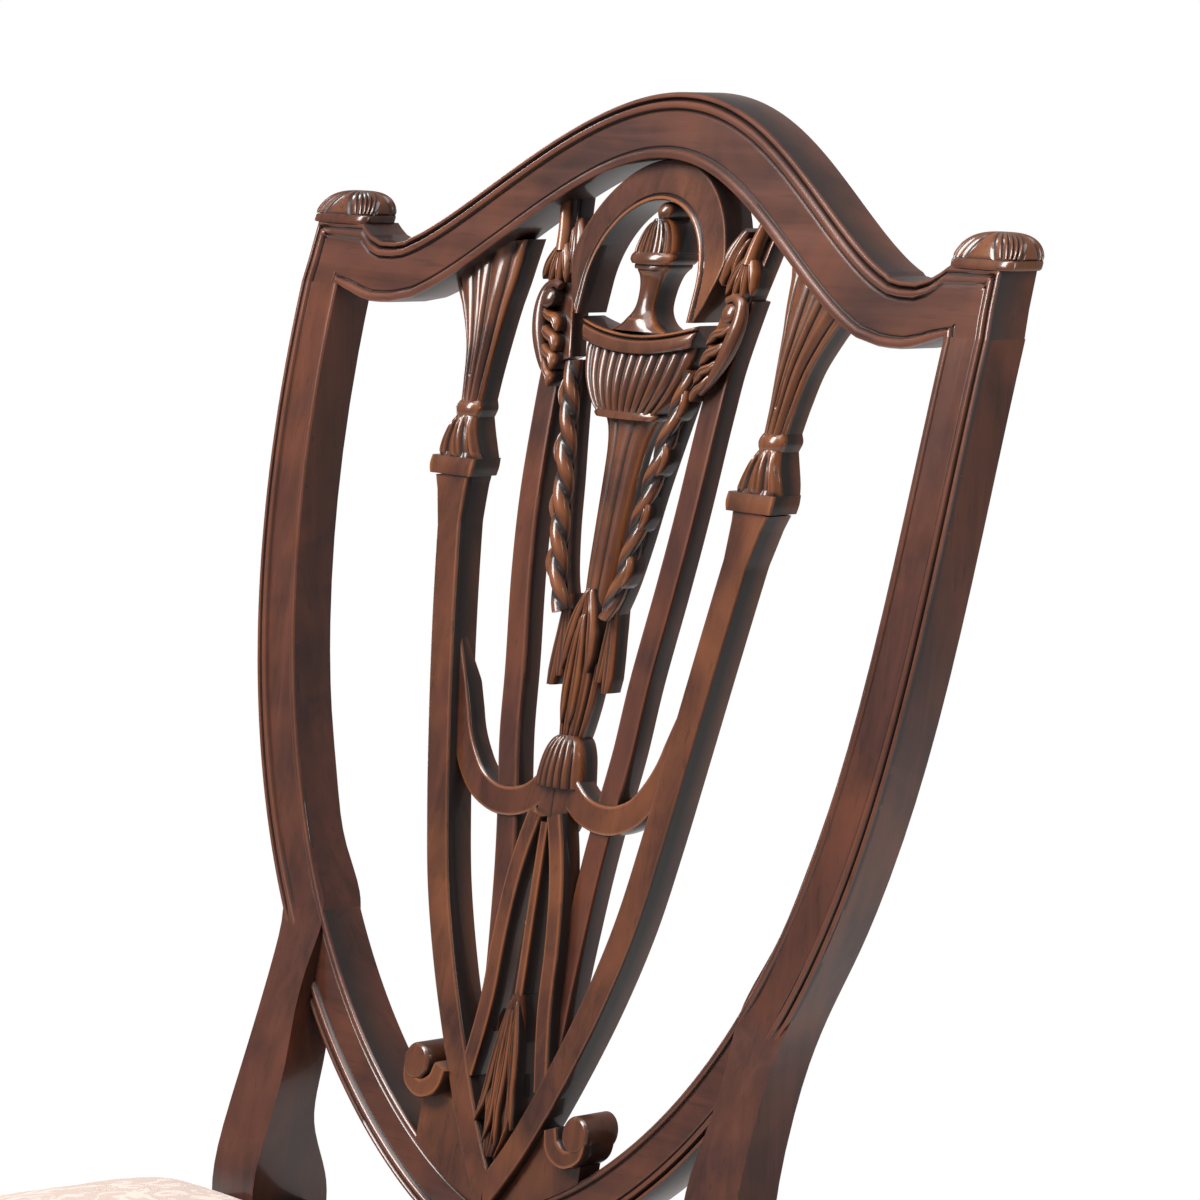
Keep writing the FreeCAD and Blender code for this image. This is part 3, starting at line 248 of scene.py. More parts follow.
def strip(carving, line, width, profile, back, step=1.2, column_step=0.8):
    """A relief along a line: width(s) mm wide, profile(u, s, w) high, s from 0 to 1 along it."""
    rough = smooth_line(line, 60)
    length = np.linalg.norm(np.diff(rough, axis=0), axis=1).sum()
    rows = max(8, int(length / step))
    middle = smooth_line(line, rows)
    s = np.linspace(0, 1, rows)
    wide = width(s) if callable(width) else np.interp(s, *width) if isinstance(width, tuple) \
        else np.full(rows, float(width))
    out = side_step(middle)
    left = middle + out * wide[:, None] / 2
    right = middle - out * wide[:, None] / 2
    columns = max(8, int(wide.max() / column_step))
    u = np.linspace(-1, 1, columns + 1)
    heights = profile(u[None, :], s[:, None], wide[:, None]) + np.zeros((rows, columns + 1))
    ruled(carving, left, right, heights, back(s) if callable(back) else back, (u + 1) / 2)


def dome(u, power=2.2):
    """A rounded section: 1 along the middle, 0 at both sides."""
    return np.clip(1 - abs(u) ** power, 0, 1) ** 0.5


def slat(face_height, edge=1.2):
    def profile(u, s, w):
        distance = (1 - abs(u)) * w / 2
        return face_height + edge_round(distance, edge)
    return profile


def swell(base, rise, power=2.0):
    """Cushioned section: full along the middle, falling to both sides."""
    def profile(u, s, w):
        return base + rise * dome(u, power)
    return profile


def petal(base, rise, vein=0.9, tip=0.8):
    """A leaf's section: swelling, with a vein down its middle and a turned-up tip."""
    def profile(u, s, w):
        body = rise * dome(u) * (0.45 + 0.55 * np.sin(math.pi * s) ** 0.6)
        return base + body + groove(u, 0, 0.16, vein) * np.sin(math.pi * s) + tip * s ** 3
    return profile


LEAF_WIDTHS = (np.array([0, 0.25, 0.55, 0.85, 1.0]), np.array([0.45, 0.8, 1.0, 0.72, 0.12]))


def leaf(carving, line, width, base, rise, back, vein=0.9, tip=0.8):
    shape = (LEAF_WIDTHS[0], LEAF_WIDTHS[1] * width)
    strip(carving, line, shape, petal(base, rise, vein, tip), back, 0.9, 0.45)


def rope(carving, line, depth, radius, shape, sides=18, step=0.9):
    """A round form along a line; shape(angle, s) multiplies its radius."""
    rough = smooth_line(line, 60)
    length = np.linalg.norm(np.diff(rough, axis=0), axis=1).sum()
    rows = max(8, int(length / step))
    middle = smooth_line(line, rows)
    s = np.linspace(0, 1, rows)
    out = side_step(middle)
    turn = np.linspace(0, 2 * math.pi, sides, endpoint=False)
    radii = radius(s) if callable(radius) else np.full(rows, float(radius))
    scale = shape(turn[None, :], s[:, None])
    around = radii[:, None] * scale
    loops = np.empty((rows, sides, 3))
    loops[..., 0] = middle[:, None, 0] + out[:, None, 0] * around * np.cos(turn)[None, :]
    loops[..., 1] = middle[:, None, 1] + out[:, None, 1] * around * np.cos(turn)[None, :]
    heights = depth(s) if callable(depth) else np.full(rows, float(depth))
    loops[..., 2] = heights[:, None] + around * np.sin(turn)[None, :]
    # Marks: the narrow parts of the form get painted shade, the full parts are lightened.
    carving.add(loops, np.clip((scale.mean() - scale) * 6, -1, 1) + np.zeros(around.shape))


def button(carving, centre, radius, heights, back, rings=12, sides=48):
    """A round boss: heights(r, angle) over its face, square sides to the back."""
    turn = np.linspace(0, 2 * math.pi, sides, endpoint=False)
    shares = np.concatenate([[1.0, 1.0], np.linspace(0.985, 0.02, rings)])
    loops = np.empty((len(shares), sides, 3))
    marks = np.zeros((len(shares), sides))
    for row, share in enumerate(shares):
        loops[row, :, 0] = centre[0] + radius * share * np.cos(turn)
        loops[row, :, 1] = centre[1] + radius * share * np.sin(turn)
        loops[row, :, 2] = back if row == 0 else heights(share, turn)
    # Cavity marks: painted shade in the hollows and lighter high parts in the wood material.
    marks[1:] = np.clip(cavity(loops[1:, :, 2], 2) / 0.4, -1, 1)
    carving.add(loops, marks)


# Materials

def new_group(name, inputs, outputs):
    tree = bpy.data.node_groups.new(name, "ShaderNodeTree")
    for socket, kind, value in inputs:
        made = tree.interface.new_socket(socket, in_out="INPUT", socket_type=kind)
        if value is not None:
            made.default_value = value
    for socket, kind in outputs:
        tree.interface.new_socket(socket, in_out="OUTPUT", socket_type=kind)
    return tree, tree.nodes.new("NodeGroupInput"), tree.nodes.new("NodeGroupOutput")


def math_node(tree, operation, first, second=None, clamp=False):
    node = tree.nodes.new("ShaderNodeMath")
    node.operation = operation
    node.use_clamp = clamp
    for index, value in enumerate((first, second)):
        if value is None:
            continue
        if isinstance(value, (int, float)):
            node.inputs[index].default_value = value
        else:
            tree.links.new(value, node.inputs[index])
    return node.outputs[0]


def noise(tree, vector, scale, detail, rough, warp=0.0):
    node = tree.nodes.new("ShaderNodeTexNoise")
    node.inputs["Scale"].default_value = scale
    node.inputs["Detail"].default_value = detail
    node.inputs["Roughness"].default_value = rough
    node.inputs["Distortion"].default_value = warp
    tree.links.new(vector, node.inputs["Vector"])
    return node.outputs[0]


def ramp_value(tree, value, low, high):
    node = tree.nodes.new("ShaderNodeMapRange")
    node.inputs["From Min"].default_value = low
    node.inputs["From Max"].default_value = high
    node.clamp = True
    tree.links.new(value, node.inputs["Value"])
    return node.outputs[0]


def mix_colour(tree, share, first, second, blend="MIX"):
    node = tree.nodes.new("ShaderNodeMix")
    node.data_type = "RGBA"
    node.blend_type = blend
    for socket, value in ((node.inputs[0], share), (node.inputs[6], first), (node.inputs[7], second)):
        if isinstance(value, (int, float)):
            socket.default_value = value
        elif isinstance(value, tuple):
            socket.default_value = (*value, 1.0)
        else:
            tree.links.new(value, socket)
    return node.outputs[2]


def make_figure_group():
    """Wood figure: streaks drawn out along the grain, open pores and broad warm patches."""
    tree, inside, outside = new_group(
        "wood_figure", [("Vector", "NodeSocketVector", None), ("Stretch", "NodeSocketVector", (70, 70, 5))],
        [("Streak", "NodeSocketFloat"), ("Pore", "NodeSocketFloat"), ("Patch", "NodeSocketFloat")])
    drawn = tree.nodes.new("ShaderNodeVectorMath")
    drawn.operation = "MULTIPLY"
    tree.links.new(inside.outputs["Vector"], drawn.inputs[0])
    tree.links.new(inside.outputs["Stretch"], drawn.inputs[1])
    streak = noise(tree, drawn.outputs[0], 1.0, 7.0, 0.62, 0.9)
    pore = noise(tree, drawn.outputs[0], 7.0, 2.0, 0.5)
    patch = noise(tree, inside.outputs["Vector"], 14.0, 3.0, 0.55, 0.6)
    tree.links.new(ramp_value(tree, streak, 0.3, 0.72), outside.inputs["Streak"])
    tree.links.new(ramp_value(tree, pore, 0.62, 0.74), outside.inputs["Pore"])
    tree.links.new(ramp_value(tree, patch, 0.38, 0.68), outside.inputs["Patch"])
    return tree


def make_shade_and_rub_group():
    """Painted shade and rub: painted shade darkens the hollows and the places ambient occlusion finds closed
    in, and the colour is lighter on the high parts, partly rubbed wear and partly painted highlight.
    """
    tree, inside, outside = new_group(
        "painted_shade_and_rub",
        [("Hollow", "NodeSocketFloat", 0.0), ("Open", "NodeSocketFloat", 1.0),
         ("HollowShade", "NodeSocketFloat", 1.0), ("RubAndHighlight", "NodeSocketFloat", 1.0)],
        [("Dark", "NodeSocketFloat"), ("Light", "NodeSocketFloat")])
    # Painted shade: the carved hollows, and the closed-in places that ambient occlusion finds.
    sunk = math_node(tree, "MULTIPLY", inside.outputs["Hollow"], inside.outputs["HollowShade"], True)
    closed = math_node(tree, "SUBTRACT", 0.86, inside.outputs["Open"], True)
    closed = math_node(tree, "MULTIPLY", closed, 1.5, True)
    dark = math_node(tree, "MAXIMUM", sunk, closed, True)
    # Lighter high parts: rubbed wear and painted highlight.
    high = math_node(tree, "MULTIPLY", inside.outputs["Hollow"], -1.0)
    high = math_node(tree, "SUBTRACT", high, 0.3, True)
    light = math_node(tree, "MULTIPLY", high, inside.outputs["RubAndHighlight"], True)
    tree.links.new(dark, outside.inputs["Dark"])
    tree.links.new(light, outside.inputs["Light"])
    return tree


FIGURE = make_figure_group()
SHADE_AND_RUB = make_shade_and_rub_group()


def wood_material(name, stretch, deep, body, warm, gloss=0.28, hollow_shade=1.0, rub_and_highlight=0.5, coat=0.7, hollows=0.011):
    """Stained and lacquered wood with its grain along one way, with painted shade in its hollows and a
    painted highlight on its high parts.
    """
    material = bpy.data.materials.new(name)
    material.use_nodes = True
    tree = material.node_tree
    surface = tree.nodes["Principled BSDF"]
    place = tree.nodes.new("ShaderNodeTexCoord")
    figure = tree.nodes.new("ShaderNodeGroup")
    figure.node_tree = FIGURE
    figure.inputs["Stretch"].default_value = stretch
    tree.links.new(place.outputs["Object"], figure.inputs["Vector"])
    mark = tree.nodes.new("ShaderNodeAttribute")
    mark.attribute_name = "carve"
    # Ambient occlusion, turned below into painted shade in the closed-in hollows.
    shade = tree.nodes.new("ShaderNodeAmbientOcclusion")
    shade.samples = 6
    shade.inputs["Distance"].default_value = hollows
    shade_and_rub = tree.nodes.new("ShaderNodeGroup")
    shade_and_rub.node_tree = SHADE_AND_RUB
    shade_and_rub.inputs["HollowShade"].default_value = hollow_shade
    shade_and_rub.inputs["RubAndHighlight"].default_value = rub_and_highlight
    tree.links.new(mark.outputs["Fac"], shade_and_rub.inputs["Hollow"])
    tree.links.new(shade.outputs["AO"], shade_and_rub.inputs["Open"])
    base = mix_colour(tree, figure.outputs["Streak"], deep, body)
    patch = math_node(tree, "MULTIPLY", figure.outputs["Patch"], 0.42)
    base = mix_colour(tree, patch, base, warm)
    # Lighter on the high parts: rubbed wear and painted highlight.
    base = mix_colour(tree, shade_and_rub.outputs["Light"], base, warm)
    pores = math_node(tree, "MULTIPLY", figure.outputs["Pore"], 0.35)
    base = mix_colour(tree, pores, base, tuple(part * 0.35 for part in deep))
    # Painted shade: the hollows mixed towards near black.
    dark = math_node(tree, "MULTIPLY", shade_and_rub.outputs["Dark"], 0.94)
    base = mix_colour(tree, dark, base, (0.006, 0.0035, 0.003))
    tree.links.new(base, surface.inputs["Base Color"])
    rough = math_node(tree, "MULTIPLY", figure.outputs["Streak"], 0.08)
    rough = math_node(tree, "ADD", rough, gloss)
    # Rougher where the painted shade lies.
    rough_in_hollows = math_node(tree, "MULTIPLY", shade_and_rub.outputs["Dark"], 0.25)
    tree.links.new(math_node(tree, "ADD", rough, rough_in_hollows), surface.inputs["Roughness"])
    surface.inputs["Coat Weight"].default_value = coat
    surface.inputs["Coat Roughness"].default_value = 0.09
    surface.inputs["Specular IOR Level"].default_value = 0.45
    bump = tree.nodes.new("ShaderNodeBump")
    bump.inputs["Strength"].default_value = 0.12
    bump.inputs["Distance"].default_value = 0.0004
    tree.links.new(figure.outputs["Streak"], bump.inputs["Height"])
    tree.links.new(bump.outputs["Normal"], surface.inputs["Normal"])
    return material


DEEP = (0.024, 0.0070, 0.0045)
BODY = (0.080, 0.0215, 0.0125)
WARM = (0.200, 0.058, 0.022)
UP = (75.0, 75.0, 5.0)
ACROSS = (5.0, 75.0, 75.0)
wood_up = wood_material("mahogany_upright", UP, DEEP, BODY, WARM)
wood_across = wood_material("mahogany_across", ACROSS, DEEP, BODY, WARM)
wood_carved = wood_material(
    "mahogany_carved", (60.0, 60.0, 9.0), DEEP, (0.105, 0.029, 0.013), (0.290, 0.096, 0.031),
    gloss=0.24, hollow_shade=1.5, rub_and_highlight=1.0, coat=0.7, hollows=0.009)
wood_plain = wood_material("mahogany_legs", UP, DEEP, BODY, WARM, rub_and_highlight=0.2)
beech = wood_material(
    "beech", ACROSS, (0.42, 0.25, 0.13), (0.55, 0.36, 0.2), (0.62, 0.42, 0.25),
    gloss=0.5, hollow_shade=0.4, rub_and_highlight=0.2, coat=0.0)


def plain_material(name, colour, rough, metal=0.0, bump_scale=0.0, bump_depth=0.0, speckle=0.25):
    material = bpy.data.materials.new(name)
    material.use_nodes = True
    tree = material.node_tree
    surface = tree.nodes["Principled BSDF"]
    place = tree.nodes.new("ShaderNodeTexCoord")
    grain = noise(tree, place.outputs["Object"], bump_scale or 180.0, 4.0, 0.6)
    darker = tuple(part * (1 - speckle) for part in colour)
    tree.links.new(mix_colour(tree, grain, darker, colour), surface.inputs["Base Color"])
    surface.inputs["Roughness"].default_value = rough
    surface.inputs["Metallic"].default_value = metal
    if bump_depth:
        bump = tree.nodes.new("ShaderNodeBump")
        bump.inputs["Distance"].default_value = bump_depth
        bump.inputs["Strength"].default_value = 0.5
        tree.links.new(grain, bump.inputs["Height"])
        tree.links.new(bump.outputs["Normal"], surface.inputs["Normal"])
    return material


def make_weave_group():
    """Plain weave: two sets of threads over and under, as a height, and a thread's own shade."""
    tree, inside, outside = new_group(
        "plain_weave", [("Vector", "NodeSocketVector", None), ("Threads", "NodeSocketFloat", 900.0)],
        [("Height", "NodeSocketFloat"), ("Shade", "NodeSocketFloat")])
    parts = tree.nodes.new("ShaderNodeSeparateXYZ")
    tree.links.new(inside.outputs["Vector"], parts.inputs[0])
    waves = []
    for axis in (0, 1):
        run = math_node(tree, "MULTIPLY", parts.outputs[axis], inside.outputs["Threads"])
        if axis == 1:
            lift = math_node(tree, "MULTIPLY", parts.outputs[2], inside.outputs["Threads"])
            run = math_node(tree, "ADD", run, lift)
        waves.append(math_node(tree, "SINE", run))
    woven = math_node(tree, "MULTIPLY", waves[0], waves[1])
    tree.links.new(ramp_value(tree, woven, -1.0, 1.0), outside.inputs["Height"])
    slub = noise(tree, inside.outputs["Vector"], 260.0, 3.0, 0.6)
    tree.links.new(slub, outside.inputs["Shade"])
    return tree


WEAVE = make_weave_group()


def cloth_material(name, ground, figure, threads, figure_scale, rough=0.85, depth=0.0003, sheen=0.25):
    """Woven cloth with a pale damask figure over its ground."""
    material = bpy.data.materials.new(name)
    material.use_nodes = True
    tree = material.node_tree
    surface = tree.nodes["Principled BSDF"]
    place = tree.nodes.new("ShaderNodeTexCoord")
    weave = tree.nodes.new("ShaderNodeGroup")
    weave.node_tree = WEAVE
    weave.inputs["Threads"].default_value = threads
    tree.links.new(place.outputs["Object"], weave.inputs["Vector"])
    base = mix_colour(tree, weave.outputs["Shade"], tuple(part * 0.8 for part in ground), ground)
    if figure_scale:
        leafy = noise(tree, place.outputs["Object"], figure_scale, 2.0, 0.5, 3.2)
        drawn = ramp_value(tree, leafy, 0.53, 0.57)
        base = mix_colour(tree, math_node(tree, "MULTIPLY", drawn, 0.8), base, figure)
    light = math_node(tree, "MULTIPLY", weave.outputs["Height"], 0.3)
    base = mix_colour(tree, light, base, figure)
    tree.links.new(base, surface.inputs["Base Color"])
    surface.inputs["Roughness"].default_value = rough
    surface.inputs["Sheen Weight"].default_value = sheen
    bump = tree.nodes.new("ShaderNodeBump")
    bump.inputs["Strength"].default_value = 0.6
    bump.inputs["Distance"].default_value = depth
    tree.links.new(weave.outputs["Height"], bump.inputs["Height"])
    tree.links.new(bump.outputs["Normal"], surface.inputs["Normal"])
    return material


seat_cloth = cloth_material("damask", (0.60, 0.46, 0.40), (0.74, 0.63, 0.56), 3400.0, 34.0)
braid_cloth = cloth_material("braid", (0.50, 0.34, 0.28), (0.74, 0.62, 0.54), 5200.0, 0.0)
web_cloth = cloth_material("jute_web", (0.42, 0.31, 0.18), (0.6, 0.5, 0.34), 1800.0, 0.0, sheen=0.0)
sack_cloth = cloth_material("sackcloth", (0.34, 0.24, 0.13), (0.5, 0.4, 0.25), 1500.0, 0.0, sheen=0.0)
cambric = cloth_material("cambric", (0.03, 0.03, 0.032), (0.06, 0.06, 0.065), 2400.0, 0.0, sheen=0.1)
steel = plain_material("screw_steel", (0.35, 0.35, 0.36), 0.38, 1.0, speckle=0.15)
nickel = plain_material("glide_nickel", (0.62, 0.6, 0.57), 0.3, 1.0, speckle=0.1)

for name, node in nodes.items():
    if name.startswith(("front_leg", "rear_post")):
        chosen, slot = wood_plain, "mahogany"
    elif name.startswith(("side_seat", "side_stretcher")):
        chosen = wood_material("mahogany_" + name, (75.0, 5.0, 75.0), DEEP, BODY, WARM, rub_and_highlight=0.2)
        slot = "mahogany"
    elif "corner_block_screws" in name:
        chosen, slot = steel, "steel_screw"
    elif "corner_block" in name:
        chosen, slot = beech, "beech"
    elif name.startswith("webbing"):
        chosen, slot = web_cloth, "webbing"
    elif name == "hessian":
        chosen, slot = sack_cloth, "hessian"
    elif name == "dust_cover":
        chosen, slot = cambric, "cambric"
    elif "glide" in name:
        chosen, slot = nickel, "glide_steel"
    elif name == "gimp_braid":
        chosen, slot = braid_cloth, "gimp"
    elif name in ("seat_cover", "seat_stuffing"):
        chosen, slot = seat_cloth, "seat_fabric"
    else:
        chosen, slot = wood_across, "mahogany"
    node.data.materials.clear()
    node.data.materials.append(chosen)


# Shield outlines

def egg_half_width(rise, half_width, drop, blunt, flank):
    share = (EGG_TOP - rise) / (EGG_TOP + drop)
    return half_width * np.clip(1 - share ** blunt, 0, 1) ** (1 / flank)


def outer_reach(rise):
    return egg_half_width(rise, 250, -OUTER_TIP, blunt=3.61, flank=1.484)


def inner_reach(rise):
    return egg_half_width(rise, 221.5, -INNER_TIP, blunt=3.53, flank=1.505)


def curve_down(reach_at, top, tip, count):
    """Even points of one side of a shield curve from a height down to its tip."""
    rises = tip + (top - tip) * np.linspace(1, 0, 900) ** 2
    return even(np.stack([reach_at(rises), rises], 1), count)


def crest_centre(reach):
    share = 0.5 + 0.5 * np.cos(math.pi * np.minimum(abs(reach), CREST_SCOOP_REACH) / CREST_SCOOP_REACH)
    return CREST_FOOT + CREST_RISE * share ** 0.714


def crest_edge(reach, side):
    fall = (crest_centre(reach + 0.5) - crest_centre(max(reach - 0.5, 0.0)))
    length = math.hypot(1.0, fall)
    return [reach - side * CREST_HALF_BAND * fall / length,
            crest_centre(reach) + side * CREST_HALF_BAND / length]


def part_until(curve, reach, before):
    """Part of a shield curve before or after it comes in to a reach."""
    inside = curve[:, 0] < reach
    first = int(np.argmax(inside))
    low, high = curve[first - 1], curve[first]
    share = (low[0] - reach) / (low[0] - high[0])
    cross = low + (high - low) * share
    return np.vstack([curve[:first], cross]) if before else np.vstack([cross, curve[first:]])


JOINT_REACH = 156.0
STILE_TOP = 155.0


def frame_profile(out, inn, strength):
    """Moulded face of the shield's frame: distances in from its outer and inner edges."""
    outer = (
        bead(out, 1.3, 1.3, 1.2) + groove(out, 3.0, 0.5, 1.4)
        + bead(out, 5.3, 1.8, 1.6) + groove(out, 7.6, 0.5, 1.1))
    inner = bead(inn, 2.3, 2.2, 1.4) + groove(inn, 4.9, 0.5, 1.0)
    return outer * strength + inner + edge_round(out, 0.7) + edge_round(inn, 0.7)


def frame_piece(name, outer, inner, scale, strength, back, material, stands_for, mirrored):
    """One length of the shield's frame; both sides of it when it crosses the middle."""
    columns = 56
    share = np.linspace(0, 1, columns + 1)
    gap = np.linalg.norm(outer - inner, axis=1)
    out = share[None, :] * (gap / scale)[:, None]
    inn = (1 - share)[None, :] * (gap / scale)[:, None]
    heights = frame_profile(out, inn, strength[:, None])
    carving = Carving(frame_face)
    ruled(carving, outer, inner, heights, back, share)
    if mirrored:
        return carving.mirror().make(name, material, "mahogany", stands_for)
    return carving.make(name, material, "mahogany", stands_for)


def crest_stations():
    """Outer and inner points, scale of the moulding and its strength, over half the crest."""
    reaches = np.concatenate([np.linspace(0, 150, 76), np.linspace(152, 168, 9)])
    outer = [crest_edge(reach, 1) for reach in reaches]
    inner = [crest_edge(reach, -1) for reach in reaches]
    outer[0], inner[0] = [0.0, 261.5], [0.0, 228.5]
    corner = [
        (176, 179.9, 178, 147.6), (184, 178.6, 186, 147.2), (195, 178.5, 194, 147.3),
        (204, 181.3, 200, 148.2), (209, 184.2, 204, 149.2), (213, 187, 207.5, 150.2),
        (220, 187, 211, 151.3), (228, 187, 214.5, 152.3), (236, 187, 217.5, 153.3),
        (243, 187, 219.3, 154.0),
        (247.6, 187, 220.4, 154.5), (248.0, 178, 220.6, 154.7), (248.4, 168, 220.8, 154.85),
        (float(outer_reach(STILE_TOP)), STILE_TOP, float(inner_reach(STILE_TOP)), STILE_TOP),
    ]
    corner = np.array(corner)
    t = np.arange(len(corner))
    fine = np.linspace(0, len(corner) - 1, 6 * (len(corner) - 1) + 1)
    corner_fine = np.stack([np.interp(fine, t, corner[:, axis]) for axis in range(4)], 1)
    outer = np.vstack([outer, corner_fine[:, :2]])
    inner = np.vstack([inner, corner_fine[:, 2:]])
    gap = np.linalg.norm(outer - inner, axis=1)
    scale = gap / MOULDING_WIDTH
    band = (outer[:, 0] > 170) & (outer[:, 0] < 246)
    scale[band] = np.minimum(scale[band], 1.16)
    strength = np.interp(outer[:, 0], [0, 198, 210, 240, 247], [1, 1, 0.4, 0.35, 1])
    return outer, inner, scale, strength


outer_pts, inner_pts, scales, strengths = crest_stations()
crest_outer = np.vstack([outer_pts[::-1] * [-1, 1], outer_pts[1:]])
crest_inner = np.vstack([inner_pts[::-1] * [-1, 1], inner_pts[1:]])
crest_scale = np.concatenate([scales[::-1], scales[1:]])
crest_strength = np.concatenate([strengths[::-1], strengths[1:]])
frame_piece("crest", crest_outer, crest_inner, crest_scale, crest_strength, -FRAME_DEPTH,
            wood_across, ("crest_rail",), False)

outer_curve = curve_down(outer_reach, STILE_TOP, OUTER_TIP, 900)
inner_curve = curve_down(inner_reach, STILE_TOP, INNER_TIP, 900)
stile_outer = even(part_until(outer_curve, JOINT_REACH, True), 170)
stile_inner = even(part_until(inner_curve, JOINT_REACH, True), 170)
stile_gap = np.linalg.norm(stile_outer - stile_inner, axis=1)
for side, mirrored in (("right", False), ("left", True)):
    frame_piece("stile_moulding_" + side, stile_outer, stile_inner, stile_gap / MOULDING_WIDTH,
                np.ones(170), -3.0, wood_up, (), mirrored)

base_outer = even(part_until(outer_curve, JOINT_REACH, False), 110)
base_inner = even(part_until(inner_curve, JOINT_REACH, False), 110)
base_outer = np.vstack([base_outer, base_outer[-2::-1] * [-1, 1]])
base_inner = np.vstack([base_inner, base_inner[-2::-1] * [-1, 1]])
base_gap = np.linalg.norm(base_outer - base_inner, axis=1)
frame_piece("base_moulding", base_outer, base_inner, base_gap / MOULDING_WIDTH,
            np.ones(len(base_gap)), -FRAME_DEPTH, wood_across, ("shield_base_rail",), False)


# Ears: a fillet under a domed cap cut with radiating lobes

def make_ear(name, side):
    carving = Carving(frame_face)
    centre = np.array([233.0, -11.0])
    half = np.array([21.2, 12.8])
    turn = np.linspace(0, 2 * math.pi, 180, endpoint=False)

    def plan(share, squareness):
        across = np.sign(np.cos(turn)) * abs(np.cos(turn)) ** squareness
        along = np.sign(np.sin(turn)) * abs(np.sin(turn)) ** squareness
        return centre + np.stack([across, along], 1) * half * np.reshape(share, (-1, 1))

    rows, marks = [], []

    def ring(share, rise, squareness=0.35, mark=0.0):
        flat = plan(share, squareness)
        loop = np.empty((len(turn), 3))
        loop[:, 0] = flat[:, 0]
        loop[:, 1] = rise
        loop[:, 2] = flat[:, 1]
        rows.append(loop)
        marks.append(np.full(len(turn), mark) if np.isscalar(mark) else mark)

    ring(0.5, 186.4)
    ring(0.965, 186.4)
    ring(0.99, 187.0)
    ring(1.0, 188.0)
    ring(1.0, 190.0)
    ring(0.985, 190.8)
    # The marks set here paint shade into the crease under the cap and between its lobes, and lighten the
    # lobes.
    ring(0.955, 191.2, mark=0.8)
    lobes = abs(np.cos(turn * 12.0))
    for climb in np.linspace(0.02, 0.985, 26):
        share = 0.985 * math.cos(climb * math.pi / 2) ** 0.62
        rise = 191.4 + 12.0 * math.sin(climb * math.pi / 2) ** 0.9
        cut = 0.055 * (1 - climb) ** 0.5 * (1 if climb > 0.05 else 0.4)
        ring(share * (1 + cut * (lobes - 0.7)), rise - 1.5 * (1 - lobes) * (1 - climb ** 2),
             0.35 + 0.5 * climb, np.clip((0.6 - lobes) * 1.6, -0.6, 1))
    loops = np.stack(rows)
    carving.add(loops, np.stack(marks))
    made = carving if side == "right" else carving.mirror()
    return made.make(name, wood_carved, "mahogany")


for side in ("right", "left"):
    make_ear("ear_cap_" + side, side)


# Arch over the urn

def arch_edges(half, top, rows):
    turn = np.linspace(0, math.pi, rows)
    curve = np.stack([half * np.cos(turn), 165 + top * np.sin(turn)], 1)
    foot = np.linspace(150, 164, 8)
    right = np.stack([np.full(8, half), foot], 1)
    left = np.stack([np.full(8, -half), foot[::-1]], 1)
    return np.vstack([right, curve, left])


def make_arch():
    outer = arch_edges(57.0, 63.5, 120)
    inner = arch_edges(39.5, 43.0, 120)
    outer[:, 0] *= np.interp(outer[:, 1], [150, 158, 180], [0.76, 0.84, 1.0])
    gap = np.linalg.norm(outer - inner, axis=1)[:, None]
    share = np.linspace(0, 1, 33)[None, :]
    inn = (1 - share) * gap
    heights = (
        2.4 + bead(inn, 1.3, 1.3, 1.0) + groove(inn, 3.1, 0.5, 0.9)
        + edge_round(share * gap, 1.0))
    carving = Carving()
    ruled(carving, outer, inner, heights, -16.5, share[0])
    carving.make("arch_band", wood_carved, "mahogany", ("splat_arch",))


make_arch()


# Consoles: stem, bell flower, scroll and acanthus beside the arch

def make_console():
    console = Carving()
    strip(console, [(76, 214), (72, 192), (66, 170), (59, 148), (51, 126)],
          (np.array([0, 0.3, 0.6, 1.0]), np.array([9, 12, 16, 9])), slat(-6.0), -16.5)
    strip(console, [(76, 219), (74, 204), (70, 190), (68, 180)],
          (np.array([0, 0.6, 1.0]), np.array([7.5, 7.0, 8.5])), swell(-4.5, 6.0), -15)
    for tip, middle, width in (
            ((58.5, 164), (61.5, 174), 6.0), ((64, 161.5), (65.5, 172), 5.6),
            ((70, 162), (69.5, 172), 5.6), ((76, 165), (74, 174), 6.0)):
        leaf(console, [(68, 186), middle, tip], width, -5.0, 6.0, -12)
    leaf(console, [(61, 196), (56, 184), (54, 174), (55.5, 169)], 9.5, -3.0, 5.0, -12, vein=0.5)
    leaf(console, [(64, 192), (60, 182), (60, 173)], 5.0, -4.0, 4.5, -12)

    def scroll_face(share, turn):
        return 0.5 + 2.6 * math.sqrt(max(0.0, 1 - share ** 2)) + 0 * turn

    button(console, (66, 156), 4.8, scroll_face, -14)
    hook = [(61, 162), (66, 163.5), (71, 160), (72, 152), (69.5, 141), (65.5, 131), (61, 123), (55.5, 117)]
    rope(console, hook, lambda s: -1.5 - 1.5 * s, lambda s: 2.2 + 2.2 * np.sin(math.pi * s) ** 1.5,
         lambda turn, s: 1 + 0.0 * turn * s)
    for line, width in (
            ([(71, 152), (65, 147.5), (59, 145.5), (55, 140)], 6.2),
            ([(69, 143), (62.5, 138.5), (57, 136), (53.5, 130)], 6.8),
            ([(66, 134), (60, 129.5), (55, 127), (52.5, 121)], 6.4),
            ([(62, 127), (57.5, 121), (53.5, 117.5), (52.5, 112.5)], 5.2)):
        leaf(console, line, width, -4.5, 6.0, -12, vein=0.6, tip=2.2)
    return console


make_pair(make_console(), "console", wood_carved, "splat_console")


# Outer ribs: fluted flare, ring, leafed bell and ledge, over a slat down to the tip

